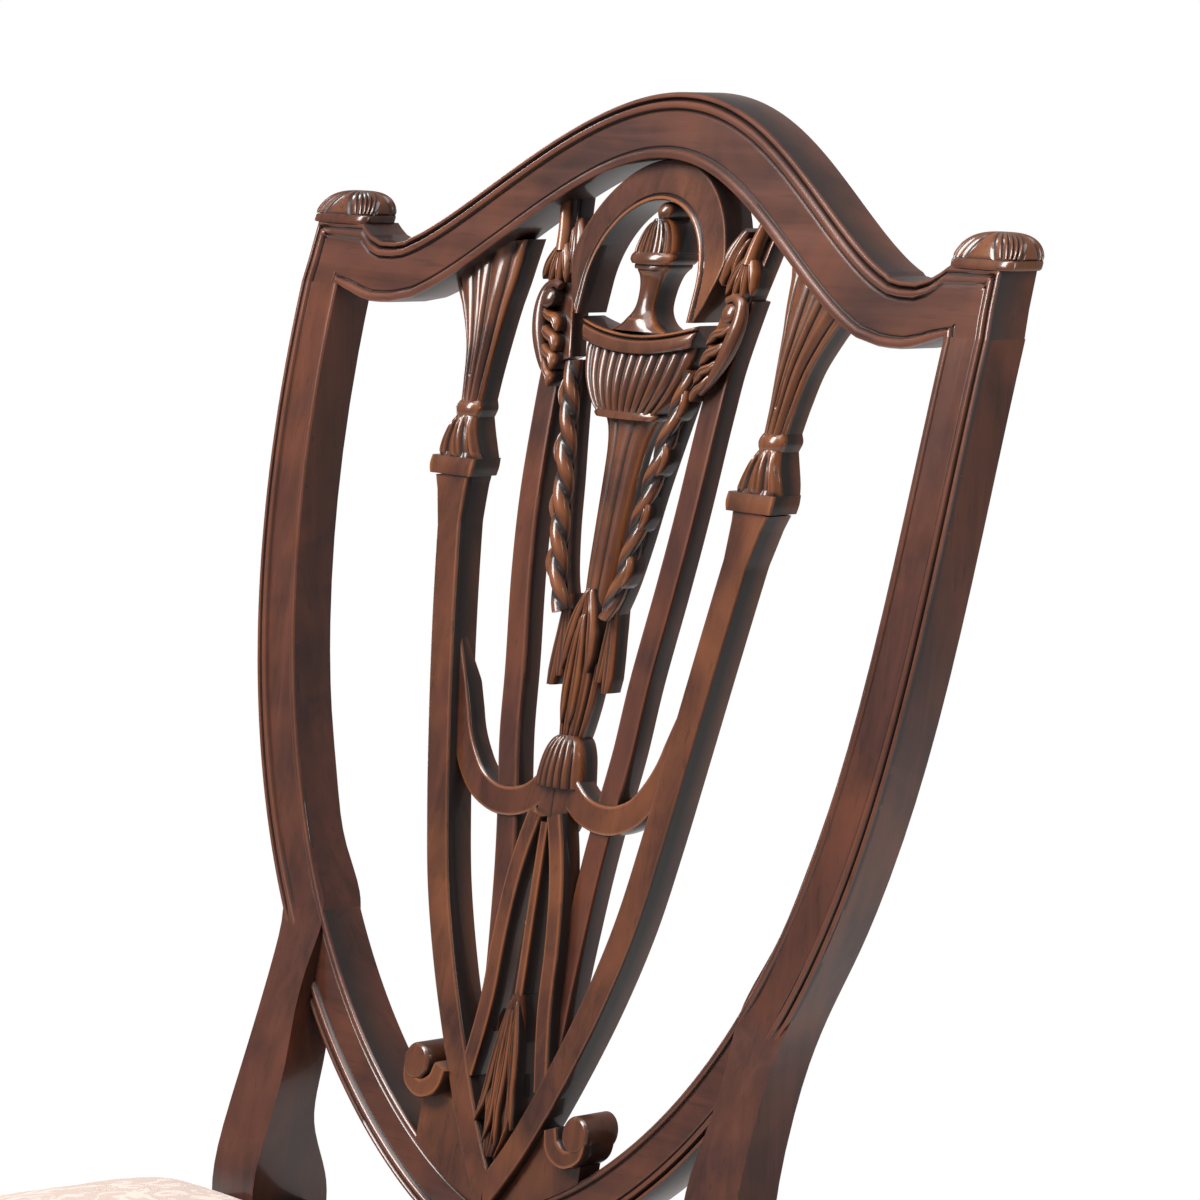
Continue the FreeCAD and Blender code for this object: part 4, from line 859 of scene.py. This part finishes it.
RIB_LINE = [
    (109.5, 64), (105.5, 40), (98.5, 0), (93, -30), (87.3, -60), (79.2, -100), (69.5, -140),
    (55, -180), (36.5, -220), (20.5, -250), (9, -268), (-2, -283),
]


def between(carving, left, right, rows, heights, back, columns=40):
    """A relief between two edge curves given by a few points each."""
    left, right = smooth_line(left, rows), smooth_line(right, rows)
    share = np.linspace(0, 1, columns + 1)
    u = (2 * share - 1)[None, :]
    s = np.linspace(0, 1, rows)[:, None]
    wide = np.linalg.norm(left - right, axis=1)[:, None]
    ruled(carving, left, right, heights(u, s, wide) + np.zeros((rows, columns + 1)), back, share)


def flare_heights(u, s, w):
    """Flutes running down the flare and closing towards the ring, with raised arrises."""
    body = -7.5 + 7.0 * dome(u, 2.6) + 2.0 * (1 - s)
    flutes = abs(np.sin(u * math.pi * 2.0 + 0.5 * math.pi)) ** 0.6
    depth = 2.3 * np.clip(np.sin(math.pi * np.clip(s * 0.93 + 0.05, 0, 1)), 0, 1) ** 0.45
    centre = groove(u, 0, 0.05, 0.7) * (s < 0.85)
    crown = 1.2 * np.exp(-((s - 0.04) / 0.05) ** 2) * np.cos(u * math.pi * 4)
    return body - depth * (1 - flutes) + centre + crown


def bell_heights(u, s, w):
    """Three overlapping leaves hanging round the bell."""
    body = -6.0 + 6.0 * dome(u, 2.4) + 1.5 * np.sin(math.pi * s)
    leaves = np.cos(u * math.pi * 2.5)
    veins = 0.35 * np.cos(u * math.pi * 10)
    return body + (1.5 * leaves + veins) * np.clip(4 * s, 0, 1) * np.clip(7 * (1 - s), 0, 1)


def make_outer_rib():
    rib = Carving()
    between(rib, [(152, 176), (143, 160), (134, 147), (125.5, 131), (121, 114), (118.5, 101)],
            [(97, 184), (99, 162), (101, 148), (102.5, 130), (103.6, 114), (104, 101)],
            90, flare_heights, -16, 64)

    def ring_heights(u, s, w):
        lift = np.clip(np.sin(math.pi * s), 0, 1) ** 0.5
        return -6.5 + 6.8 * dome(u, 2.6) * (0.75 + 0.3 * lift)

    between(rib, [(118.6, 101.5), (120.4, 97.5), (118.8, 93)],
            [(103.9, 101.5), (102.2, 97.5), (103.6, 93)], 14, ring_heights, -16, 32)
    between(rib, [(118.3, 94), (121.5, 86), (124.5, 78), (125.8, 72)],
            [(104.2, 94), (100.5, 86), (96.5, 78), (93.4, 72)], 34, bell_heights, -16, 56)

    def ledge_heights(u, s, w):
        return 1.6 + 0.5 * np.sin(math.pi * s) + edge_round((1 - abs(u)) * w / 2, 1.2)

    between(rib, [(126.2, 73), (126.4, 68.5), (125.5, 64)],
            [(92.8, 73), (92.6, 68.5), (93.5, 64)], 12, ledge_heights, -16, 32)

    def rib_face(u, s, w):
        distance = (1 - abs(u)) * w / 2
        return 0.2 + edge_round(distance, 1.8)

    def rib_width(s):
        return np.interp(s, [0, 0.02, 0.07, 1.0], [26.0, 22.0, 17.0, 14.5])

    strip(rib, [(109.5, 65)] + RIB_LINE[1:], rib_width, rib_face, -16, 1.5, 0.6)
    rib.points[-1][:, 0] = np.maximum(rib.points[-1][:, 0], MIDDLE_CLEARANCE)
    return rib


make_pair(make_outer_rib(), "outer_rib_carving", wood_carved, "outer_rib")

INNER_LINE = [
    (66.5, 163), (61.5, 130), (60, 105), (57.5, 60), (53, 20), (46, -25), (42, -60), (36, -92),
    (31.5, -120), (28, -150), (25.2, -180), (23.5, -205),
]
inner_rib = Carving()
strip(inner_rib, INNER_LINE, 15.0, slat(-7.0, 1.8), -18, 1.5, 0.7)
make_pair(inner_rib, "inner_rib_slat", wood_up, "inner_rib")


# Urn

def round_form(carving, profile, rows, heights, back, columns=48):
    """A relief symmetric about the middle; its half widths come from (reach, rise) points."""
    profile = np.asarray(profile, float)
    curve = smooth_line(profile, rows)
    share = np.linspace(0, 1, columns + 1)
    left = curve * [-1, 1]
    u = (2 * share - 1)[None, :]
    s = np.linspace(0, 1, rows)[:, None]
    found = heights(u, s, 2 * curve[:, :1]) + np.zeros((rows, columns + 1))
    ruled(carving, left, curve, found, back, share)


def make_urn():
    urn = Carving()
    round_form(urn, [(0.6, 207.4), (3.8, 206.2), (5.2, 203), (4.2, 199.6), (2.6, 198)], 18,
               lambda u, s, w: -3.5 + w * 0.52 * dome(u, 2), -16, 24)

    def lid(u, s, w):
        lobes = abs(np.cos(u * math.pi * 2.5)) ** 0.7
        veins = 0.3 * np.cos(u * math.pi * 15)
        return -4.5 + 8.0 * dome(u) + (1.9 * (lobes - 0.6) + veins) * np.clip(s * 3, 0, 1)

    round_form(urn, [(3.2, 199), (8.5, 195.5), (12.2, 190), (14.2, 184), (14.0, 181.5)], 34, lid, -18, 60)
    round_form(urn, [(13.4, 182.4), (15.2, 180.6), (15.4, 178.4), (13.6, 176.6)], 14,
               lambda u, s, w: -4.0 + (9.0 + 0.8 * np.sin(math.pi * s)) * dome(u), -18, 40)
    round_form(urn, [(12.6, 177), (12.8, 175.2), (11.8, 174)], 8,
               lambda u, s, w: -5.0 + 8.0 * dome(u), -18, 40)
    round_form(urn, [(12.0, 174.4), (8.6, 170.5), (6.6, 163), (7.0, 154), (12, 147.6), (20, 143.6)], 50,
               lambda u, s, w: -6.5 + np.minimum(w * 0.42, 8.4) * dome(u, 2), -18, 44)

    sag = np.linspace(-1, 1, 97)
    top_edge = np.stack([sag * 42.0, 142.2 + 6.2 * sag ** 2], 1)
    low_edge = np.stack([sag * 39.5, 132.6 + 5.0 * sag ** 2], 1)
    share = np.linspace(0, 1, 21)
    wide = np.linalg.norm(top_edge - low_edge, axis=1)[:, None]
    across = share[None, :] * wide
    rim = (
        -4.6 + 3.4 * dome(sag)[:, None] + bead(across, 1.1, 1.1, 1.0) + groove(across, 2.6, 0.5, 1.2)
        + edge_round(across, 0.5) + bead(across, 6.4, 3.6, 0.9))
    ruled(urn, top_edge, low_edge, rim, -18, share)

    def bowl(u, s, w):
        lobes = abs(np.cos(u * math.pi * 5.5)) ** 0.75
        taper = np.clip(s * 9, 0, 1) * np.clip((1 - s) * 8, 0, 1)
        return -9.5 + (5.0 + 2.0 * np.sin(math.pi * s)) * dome(u) + 2.3 * (lobes - 0.55) * taper

    round_form(urn, [(39.5, 138.5), (39.0, 131), (35.5, 120), (29.5, 110.5), (23.5, 104), (20.5, 102)],
               60, bowl, -18, 150)
    round_form(urn, [(22.5, 104), (23.6, 102), (21.5, 100.2)], 8,
               lambda u, s, w: -9.6 + 5.8 * dome(u), -18, 40)

    def body(u, s, w):
        flutes = abs(np.cos(u * math.pi * 1.5)) ** 0.6
        return -15.5 + 7.0 * dome(u) - 1.6 * (1 - flutes)

    round_form(urn, [(21.5, 101), (17.2, 95), (14.0, 85), (12.2, 68), (11.0, 48), (9.8, 24), (7.8, 2)],
               90, body, -19, 44)

    husk = Carving()

    def husk_heights(u, s, w):
        leaves = abs(np.cos(u * math.pi * 2.0)) ** 0.55
        fine = 0.3 * np.cos(u * math.pi * 12)
        return -14.5 + 9.0 * dome(u) - 2.4 * (1 - leaves) + fine

    round_form(husk, [(5.5, 14), (9.5, 2), (12.2, -12), (12.6, -24), (11.4, -38), (9.2, -50), (7.4, -57)],
               70, husk_heights, -19, 56)
    for side in (-1, 1):
        leaf(husk, [(side * 1.0, 16), (side * 6.0, 2), (side * 8.5, -12), (side * 9, -24)], 7.0,
             -8.5, 4.2, -16, vein=0.8, tip=1.5)
        leaf(husk, [(side * 0.5, 4), (side * 2.6, -14), (side * 3.4, -34), (side * 2.6, -50)], 5.6,
             -7.2, 3.8, -16, vein=0.8)
        for lean, low in ((-2.2, -28), (2.4, -33)):
            tail = [(side * 17.5, 12), (side * (17.2 + 0.5 * lean), -4), (side * (17.2 + lean), -18),
                    (side * (17.2 + 1.3 * lean), low)]
            strip(husk, tail, (np.array([0, 0.3, 0.85, 1.0]), np.array([4.4, 6.4, 7.6, 5.0])),
                  lambda u, s, w: -12.5 + 4.4 * dome(u) - 0.9 * np.exp(-(u / 0.2) ** 2), -18, 0.9, 0.4)
        rope_line = [(side * 43, 126), (side * 39.5, 108), (side * 35.5, 88), (side * 31.2, 66),
                     (side * 27.4, 42), (side * 22.5, 20), (side * 16.5, 4)]
        strip(husk, rope_line, 6.4, slat(-9.0, 1.5), -17, 1.5, 0.8)
        rope(husk, rope_line, -5.6, lambda s: 4.4 + 0.7 * np.sin(math.pi * s),
             lambda turn, s: 0.62 + 0.42 * abs(np.cos(turn - side * s * 20.0)) ** 0.8, 28, 0.7)
        for start in (0.12, 0.34, 0.56, 0.78):
            middle = smooth_line(rope_line, 50)[int(start * 50)]
            leaf(husk, [middle + [side * 3.0, 9], middle + [side * 4.4, 0], middle + [side * 1.2, -9]],
                 5.4, -6.0, 4.6, -12, vein=0.6, tip=0.6)

    urn.take(husk)
    urn.make("urn_carving", wood_carved, "mahogany", ("urn_panel",))


make_urn()


# Swags, knot with its bell cap, strands and tassel

def band_face(height, edge=1.6):
    def profile(u, s, w):
        distance = (1 - abs(u)) * w / 2
        return height + edge_round(distance, np.minimum(edge, 0.4 * w))
    return profile


swag = Carving()
strip(swag, [(91, -10), (82.5, -38), (74.5, -64.5), (62, -83), (48, -91), (34, -92.5), (20, -89), (7, -79.5)],
      (np.array([0, 0.17, 0.32, 0.5, 1.0]), np.array([1.5, 8.0, 13.0, 15.0, 15.0])),
      band_face(-5.5), lambda s: np.interp(s, [0, 0.22, 1], [-8.0, -16.0, -16.5]), 1.2, 0.6)
make_pair(swag, "swag", wood_carved, "swag_rail")

knot = Carving()


def cap_heights(u, s, w):
    ribs = abs(np.cos(u * math.pi * 3.5)) ** 0.6
    flare = (5.0 + 5.0 * np.sin(0.6 * math.pi * s)) * dome(u)
    return -10.5 + flare + 2.0 * (ribs - 0.6) * np.clip(s * 3, 0, 1)


round_form(knot, [(5.5, -55.5), (10.2, -58.5), (13.6, -65), (15.4, -73), (16.6, -80.5)], 34,
           cap_heights, -18, 76)
round_form(knot, [(9.6, -79), (10.4, -86), (11.2, -94), (10.2, -101), (6.5, -106)], 24,
           lambda u, s, w: -6.0 + 1.2 * dome(u) + groove(u, 0, 0.07, 0.8), -18, 24)
knot.make("knot_cap", wood_carved, "mahogany", ("splat_knot",))

strand = Carving()
strip(strand, [(7, -94), (11.5, -108), (15, -122), (17.5, -137), (19.8, -160), (21, -185), (24, -206),
               (28, -226)], 10.4, band_face(-0.3), -12, 1.2, 0.6)
make_pair(strand, "strand", wood_carved, "splat_strand")

tassel = Carving()
strip(tassel, [(0, -98), (-0.2, -140), (0, -186)], 6.4, band_face(-1.5), -14, 1.5, 0.6)


def tuft_heights(u, s, w):
    waves = np.cos(u * math.pi * 3.0 + 1.6 * np.sin(s * 5.0))
    fine = 0.35 * np.cos(u * math.pi * 9.0 + 2.0 * s)
    return -4.0 + 4.8 * dome(u) + (1.5 * waves + fine) * np.clip(s * 6, 0, 1)


round_form(tassel, [(3.6, -183), (5.6, -192), (8.2, -206), (10.8, -222), (11.8, -236), (9.5, -250),
                    (4.5, -262)], 90, tuft_heights, -14, 60)
for side in (-1, 1):
    leaf(tassel, [(side * 2, -186), (side * 6.5, -210), (side * 9.5, -232), (side * 13.5, -247)], 5.5,
         -1.0, 3.4, -12, vein=0.7, tip=1.2)
    leaf(tassel, [(side * 1, -190), (side * 2.4, -216), (side * 2.2, -240), (side * 4.6, -256)], 4.6,
         0.2, 3.0, -12, vein=0.7, tip=1.0)
tassel.make("tassel_carving", wood_carved, "mahogany", ("splat_tassel",))


# Plinth with a scroll at each end

def make_plinth():
    plinth = Carving()
    reaches = np.linspace(-61, 61, 123)
    tops = np.interp(reaches, [-61, -52, -40, -30, 0, 30, 38, 50, 61],
                     [-234, -237, -237, -241, -262, -244, -250, -257, -254])
    inner_tips = np.interp(abs(reaches), inner_curve[::-1, 0], inner_curve[::-1, 1])
    tops = np.maximum(tops, inner_tips + 1.0)
    upper = np.stack([reaches, tops], 1)
    lower = np.stack([reaches, inner_tips - 1.5], 1)
    share = np.linspace(0, 1, 17)
    wide = (tops - inner_tips)[:, None]
    heights = -5.0 + edge_round(share[None, :] * wide, 1.5) + np.zeros((123, 17))
    ruled(plinth, upper, lower, heights, -18, share)
    for side, drop in ((-1, -225.5), (1, -240.5)):
        button(plinth, (side * 61.5, drop), 9.2,
               lambda share, turn: 4.0 - 1.6 * np.clip((share - 0.8) / 0.2, 0, 1) ** 2, -17, 30, 84)
        hook = [(side * 66.2, drop - 2), (side * 64.5, drop - 9), (side * 56, drop - 12.5),
                (side * 47, drop - 8.5), (side * 43.5, drop)]
        strip(plinth, hook, (np.array([0, 0.3, 0.7, 1.0]), np.array([8, 9, 11, 9.5])),
              slat(3.6, 1.4), -16)
    plinth.make("plinth_scrolls", wood_carved, "mahogany", ("splat_plinth",))


make_plinth()


# Seat: a stuffed cushion over the webbing, its cover drawn down over the rails

cover_points = np.array([vertex.co for vertex in nodes["seat_cover"].data.vertices])
cover_low, cover_high = cover_points.min(axis=0), cover_points.max(axis=0)
stuffing_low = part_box("seat_stuffing")[0][2]
rear_half = abs(cover_points[cover_points[:, 1] > cover_high[1] - 0.004][:, 0]).max()
front_half = cover_high[0]
straight_end = -0.242
border_top = stuffing_low + 0.008
CROSSING_INSET = 0.06
SHRINKING_SPAN = 0.145


def seat_plan(inset, radius, count=220, pull=0.0):
    """The seat's outline in plan, its sides drawn in between the corners by a share of pull.
    Past the inset where its corners would cross, it shrinks about its middle instead."""
    shrunk = 1 - max(0.0, inset - CROSSING_INSET) / SHRINKING_SPAN
    inset = min(inset, CROSSING_INSET)
    front_y, rear_y = cover_low[1] + inset, cover_high[1] - inset
    side, rear = front_half - inset, rear_half - inset
    corners = [(side, front_y, radius), (side, straight_end, 0.02), (rear, rear_y, min(radius, 0.018)),
               (-rear, rear_y, min(radius, 0.018)), (-side, straight_end, 0.02), (-side, front_y, radius)]
    outline = []
    for index, (x, y, r) in enumerate(corners):
        before = Vector(corners[index - 1][:2]) - Vector((x, y))
        after = Vector(corners[(index + 1) % 6][:2]) - Vector((x, y))
        r = min(r, before.length * 0.45, after.length * 0.45)
        start = Vector((x, y)) + before.normalized() * r
        end = Vector((x, y)) + after.normalized() * r
        for t in np.linspace(0, 1, 9):
            outline.append((1 - t) ** 2 * start + 2 * t * (1 - t) * Vector((x, y)) + t ** 2 * end)
    outline = np.array(outline + [outline[0]])
    ring = even(outline, count + 1)[:-1]
    middle = ring.mean(axis=0)
    angle = np.arctan2(ring[:, 1] - middle[1], ring[:, 0] - middle[0])
    return middle + (ring - middle) * shrunk * (1 - pull * np.cos(2 * angle) ** 2)[:, None]


def seat_rows(levels, count=220):
    return np.stack([np.column_stack([seat_plan(inset, radius, count, pull), np.full(count, z)])
                     for inset, radius, z, pull in levels])


TOP = cover_high[2]
pad_levels = [
    (0.060, 0.02, stuffing_low + 0.0008, 0.0), (0.006, 0.02, stuffing_low + 0.0008, 0.002),
    (0.004, 0.010, stuffing_low + 0.004, 0.001), (0.003, 0.010, stuffing_low + 0.011, 0.001),
    (0.006, 0.028, stuffing_low + 0.022, 0.002), (0.014, 0.034, TOP - 0.0135, 0.0),
    (0.030, 0.045, TOP - 0.0090, 0.0), (0.060, 0.06, TOP - 0.0052, 0.0), (0.105, 0.07, TOP - 0.0024, 0.0),
    (0.150, 0.05, TOP - 0.0012, 0.0), (0.185, 0.01, TOP - 0.0008, 0.0),
]
pad = Carving()
pad_loops = seat_rows(pad_levels)
pad.add_world(pad_loops, np.zeros(pad_loops.shape[:2]))
cushion = pad.make("seat_cushion", seat_cloth, "seat_fabric", ("seat_stuffing", "seat_cover"))


def apply_all(piece):
    """The piece as its modifiers leave it, with none left on it."""
    graph = bpy.context.evaluated_depsgraph_get()
    mesh = bpy.data.meshes.new_from_object(piece.evaluated_get(graph))
    piece.modifiers.clear()
    piece.data = mesh


def inflate(piece, cap):
    """Swell a stuffed form under pressure, held within a distance of where it started."""
    remesh = piece.modifiers.new("remesh", "REMESH")
    remesh.mode = "VOXEL"
    remesh.voxel_size = 0.006
    apply_all(piece)
    start = np.empty(len(piece.data.vertices) * 3, np.float32)
    piece.data.vertices.foreach_get("co", start)
    cloth = piece.modifiers.new("cloth", "CLOTH")
    cloth.settings.use_pressure = True
    cloth.settings.uniform_pressure_force = 4.0
    cloth.settings.effector_weights.gravity = 0.0
    cloth.settings.quality = 4
    scene = bpy.context.scene
    for frame_number in range(1, 21):
        scene.frame_set(frame_number)
    graph = bpy.context.evaluated_depsgraph_get()
    swollen = bpy.data.meshes.new_from_object(piece.evaluated_get(graph))
    end = np.empty(len(swollen.vertices) * 3, np.float32)
    swollen.vertices.foreach_get("co", end)
    piece.modifiers.clear()
    scene.frame_set(1)
    start, end = start.reshape(-1, 3), end.reshape(-1, 3)
    freed = np.clip((start[:, 2:3] - border_top) / (TOP - 0.010 - border_top), 0, 1)
    moved = (end - start) * freed
    length = np.linalg.norm(moved, axis=1)[:, None]
    held = start + moved * np.minimum(1.0, cap / np.maximum(length, 1e-9))
    held[:, 2] = np.clip(held[:, 2], stuffing_low + 0.0006, TOP + 0.003)
    limit_x = np.interp(held[:, 1], [straight_end, cover_high[1]], [front_half, rear_half]) + 0.0015
    held[:, 0] = np.clip(held[:, 0], -limit_x, limit_x)
    held[:, 1] = np.clip(held[:, 1], cover_low[1] - 0.001, cover_high[1] + 0.0005)
    piece.data.vertices.foreach_set("co", held.reshape(-1).astype(np.float32))
    piece.data.update()
    smooth = piece.modifiers.new("smooth", "SUBSURF")
    smooth.levels = smooth.render_levels = 1
    apply_all(piece)
    piece.data.shade_smooth()


inflate(cushion, 0.006)
cushion.data.materials.clear()
cushion.data.materials.append(seat_cloth)


def seat_band(name, low, high, inner, outer, material, slot, stands_for=()):
    """A thin closed band round the front and sides of the seat, open at the posts behind."""
    def run(inset):
        ring = seat_plan(inset, 0.005, 700, 0.0)
        behind = ring[:, 1] > cover_high[1] - 0.012
        start = int(np.argmax(behind & ~np.roll(behind, 1)))
        ring = np.roll(ring, -start, axis=0)
        behind = np.roll(behind, -start)
        return even(ring[~behind], 320)
    near, far = run(inner), run(outer)
    corners = [(near, low), (near, high), (far, high), (far, low)]
    loops = np.stack([np.column_stack([points, np.full(len(points), z)]) for points, z in corners], 1)
    band = Carving()
    band.add_world(loops, np.zeros(loops.shape[:2]))
    return band.make(name, material, slot, stands_for)


seat_band("seat_border", cover_low[2] + 0.0005, border_top, 0.0034, 0.0012,
          seat_cloth, "seat_fabric")


# Camera as the photograph was taken, from the sitter's left front

def camera_matrix():
    azimuth, elevation, roll = math.radians(48.0), math.radians(6.9392), math.radians(-1.436)
    pixels, half_side, distance = 4839.5, 600.0, 2.388
    middle_u, middle_v = 570.46, 623.21
    back = np.array([math.sin(azimuth) * math.cos(elevation),
                     -math.cos(azimuth) * math.cos(elevation), math.sin(elevation)])
    place = back * distance
    ahead = -back
    right = np.cross(ahead, [0, 0, 1])
    right /= np.linalg.norm(right)
    up = np.cross(right, ahead)
    square = np.array([right, up, ahead])
    aim = np.array([(middle_u - half_side) / pixels, -(middle_v - half_side) / pixels, 1.0])
    aim /= np.linalg.norm(aim)
    axis = np.cross([0, 0, 1.0], aim)
    sine = np.linalg.norm(axis)
    axis /= sine
    cross = np.array([[0, -axis[2], axis[1]], [axis[2], 0, -axis[0]], [-axis[1], axis[0], 0]])
    tilt = np.eye(3) + sine * cross + (1 - aim[2]) * cross @ cross
    spin = np.array([[math.cos(roll), -math.sin(roll), 0], [math.sin(roll), math.cos(roll), 0], [0, 0, 1]])
    rows = tilt @ spin @ square
    matrix = np.eye(4)
    matrix[:3, 0], matrix[:3, 1], matrix[:3, 2] = rows[0], rows[1], -rows[2]
    matrix[:3, 3] = place + [0, SHIELD_BACK, SHIELD_HEIGHT]
    return Matrix(matrix.tolist())


camera_data = bpy.data.cameras.new("camera")
camera_data.lens = 145.185
camera_data.sensor_width = 36.0
camera = bpy.data.objects.new("camera", camera_data)
camera.matrix_world = camera_matrix()
bpy.context.scene.collection.objects.link(camera)
bpy.context.scene.camera = camera
bpy.context.scene.view_settings.view_transform = "Standard"


# White studio: floor, soft lamps and a plain sky

def white_seen(tree, shade, target):
    """White where the camera sees it straight, the given shader elsewhere."""
    path = tree.nodes.new("ShaderNodeLightPath")
    glow = tree.nodes.new("ShaderNodeEmission")
    glow.inputs["Color"].default_value = (1, 1, 1, 1)
    glow.inputs["Strength"].default_value = 1.0
    mix = tree.nodes.new("ShaderNodeMixShader")
    tree.links.new(path.outputs["Is Camera Ray"], mix.inputs[0])
    tree.links.new(shade, mix.inputs[1])
    tree.links.new(glow.outputs[0], mix.inputs[2])
    tree.links.new(mix.outputs[0], target)


floor_mesh = bpy.data.meshes.new("floor")
floor_mesh.from_pydata([(-6, -6, 0), (6, -6, 0), (6, 6, 0), (-6, 6, 0)], [], [(0, 1, 2, 3)])
floor = bpy.data.objects.new("floor", floor_mesh)
bpy.context.scene.collection.objects.link(floor)
floor_material = bpy.data.materials.new("floor_white")
floor_material.use_nodes = True
floor_tree = floor_material.node_tree
floor_tree.nodes["Principled BSDF"].inputs["Base Color"].default_value = (0.75, 0.75, 0.75, 1)
floor_tree.nodes["Principled BSDF"].inputs["Roughness"].default_value = 0.9
white_seen(floor_tree, floor_tree.nodes["Principled BSDF"].outputs[0],
           floor_tree.nodes["Material Output"].inputs["Surface"])
floor_mesh.materials.append(floor_material)

world = bpy.data.worlds.new("studio")
world.use_nodes = True
bpy.context.scene.world = world
sky = world.node_tree.nodes["Background"]
sky.inputs["Color"].default_value = (1, 1, 1, 1)
sky.inputs["Strength"].default_value = 0.27
seen = world.node_tree.nodes.new("ShaderNodeBackground")
seen.inputs["Color"].default_value = (1, 1, 1, 1)
seen.inputs["Strength"].default_value = 1.0
path = world.node_tree.nodes.new("ShaderNodeLightPath")
both = world.node_tree.nodes.new("ShaderNodeMixShader")
world.node_tree.links.new(path.outputs["Is Camera Ray"], both.inputs[0])
world.node_tree.links.new(sky.outputs[0], both.inputs[1])
world.node_tree.links.new(seen.outputs[0], both.inputs[2])
world.node_tree.links.new(both.outputs[0], world.node_tree.nodes["World Output"].inputs["Surface"])


def lamp(name, azimuth, elevation, distance, width, height, power, colour=(1, 1, 1)):
    data = bpy.data.lights.new(name, "AREA")
    data.shape = "RECTANGLE"
    data.size, data.size_y = width, height
    data.energy = power
    data.color = colour
    obj = bpy.data.objects.new(name, data)
    a, e = math.radians(azimuth), math.radians(elevation)
    target = Vector((0, 0.15, 0.75))
    away = Vector((math.sin(a) * math.cos(e), -math.cos(a) * math.cos(e), math.sin(e)))
    obj.location = target + away * distance
    obj.rotation_euler = away.to_track_quat("Z", "Y").to_euler()
    bpy.context.scene.collection.objects.link(obj)


lamp("key", -20, 47, 2.3, 0.9, 1.6, 80, (1, 0.97, 0.94))
lamp("strip_right", 96, 15, 2.2, 0.3, 2.0, 15)
lamp("strip_left", -100, 12, 2.4, 0.35, 2.0, 14)
lamp("top", 30, 78, 2.2, 1.2, 1.2, 15)
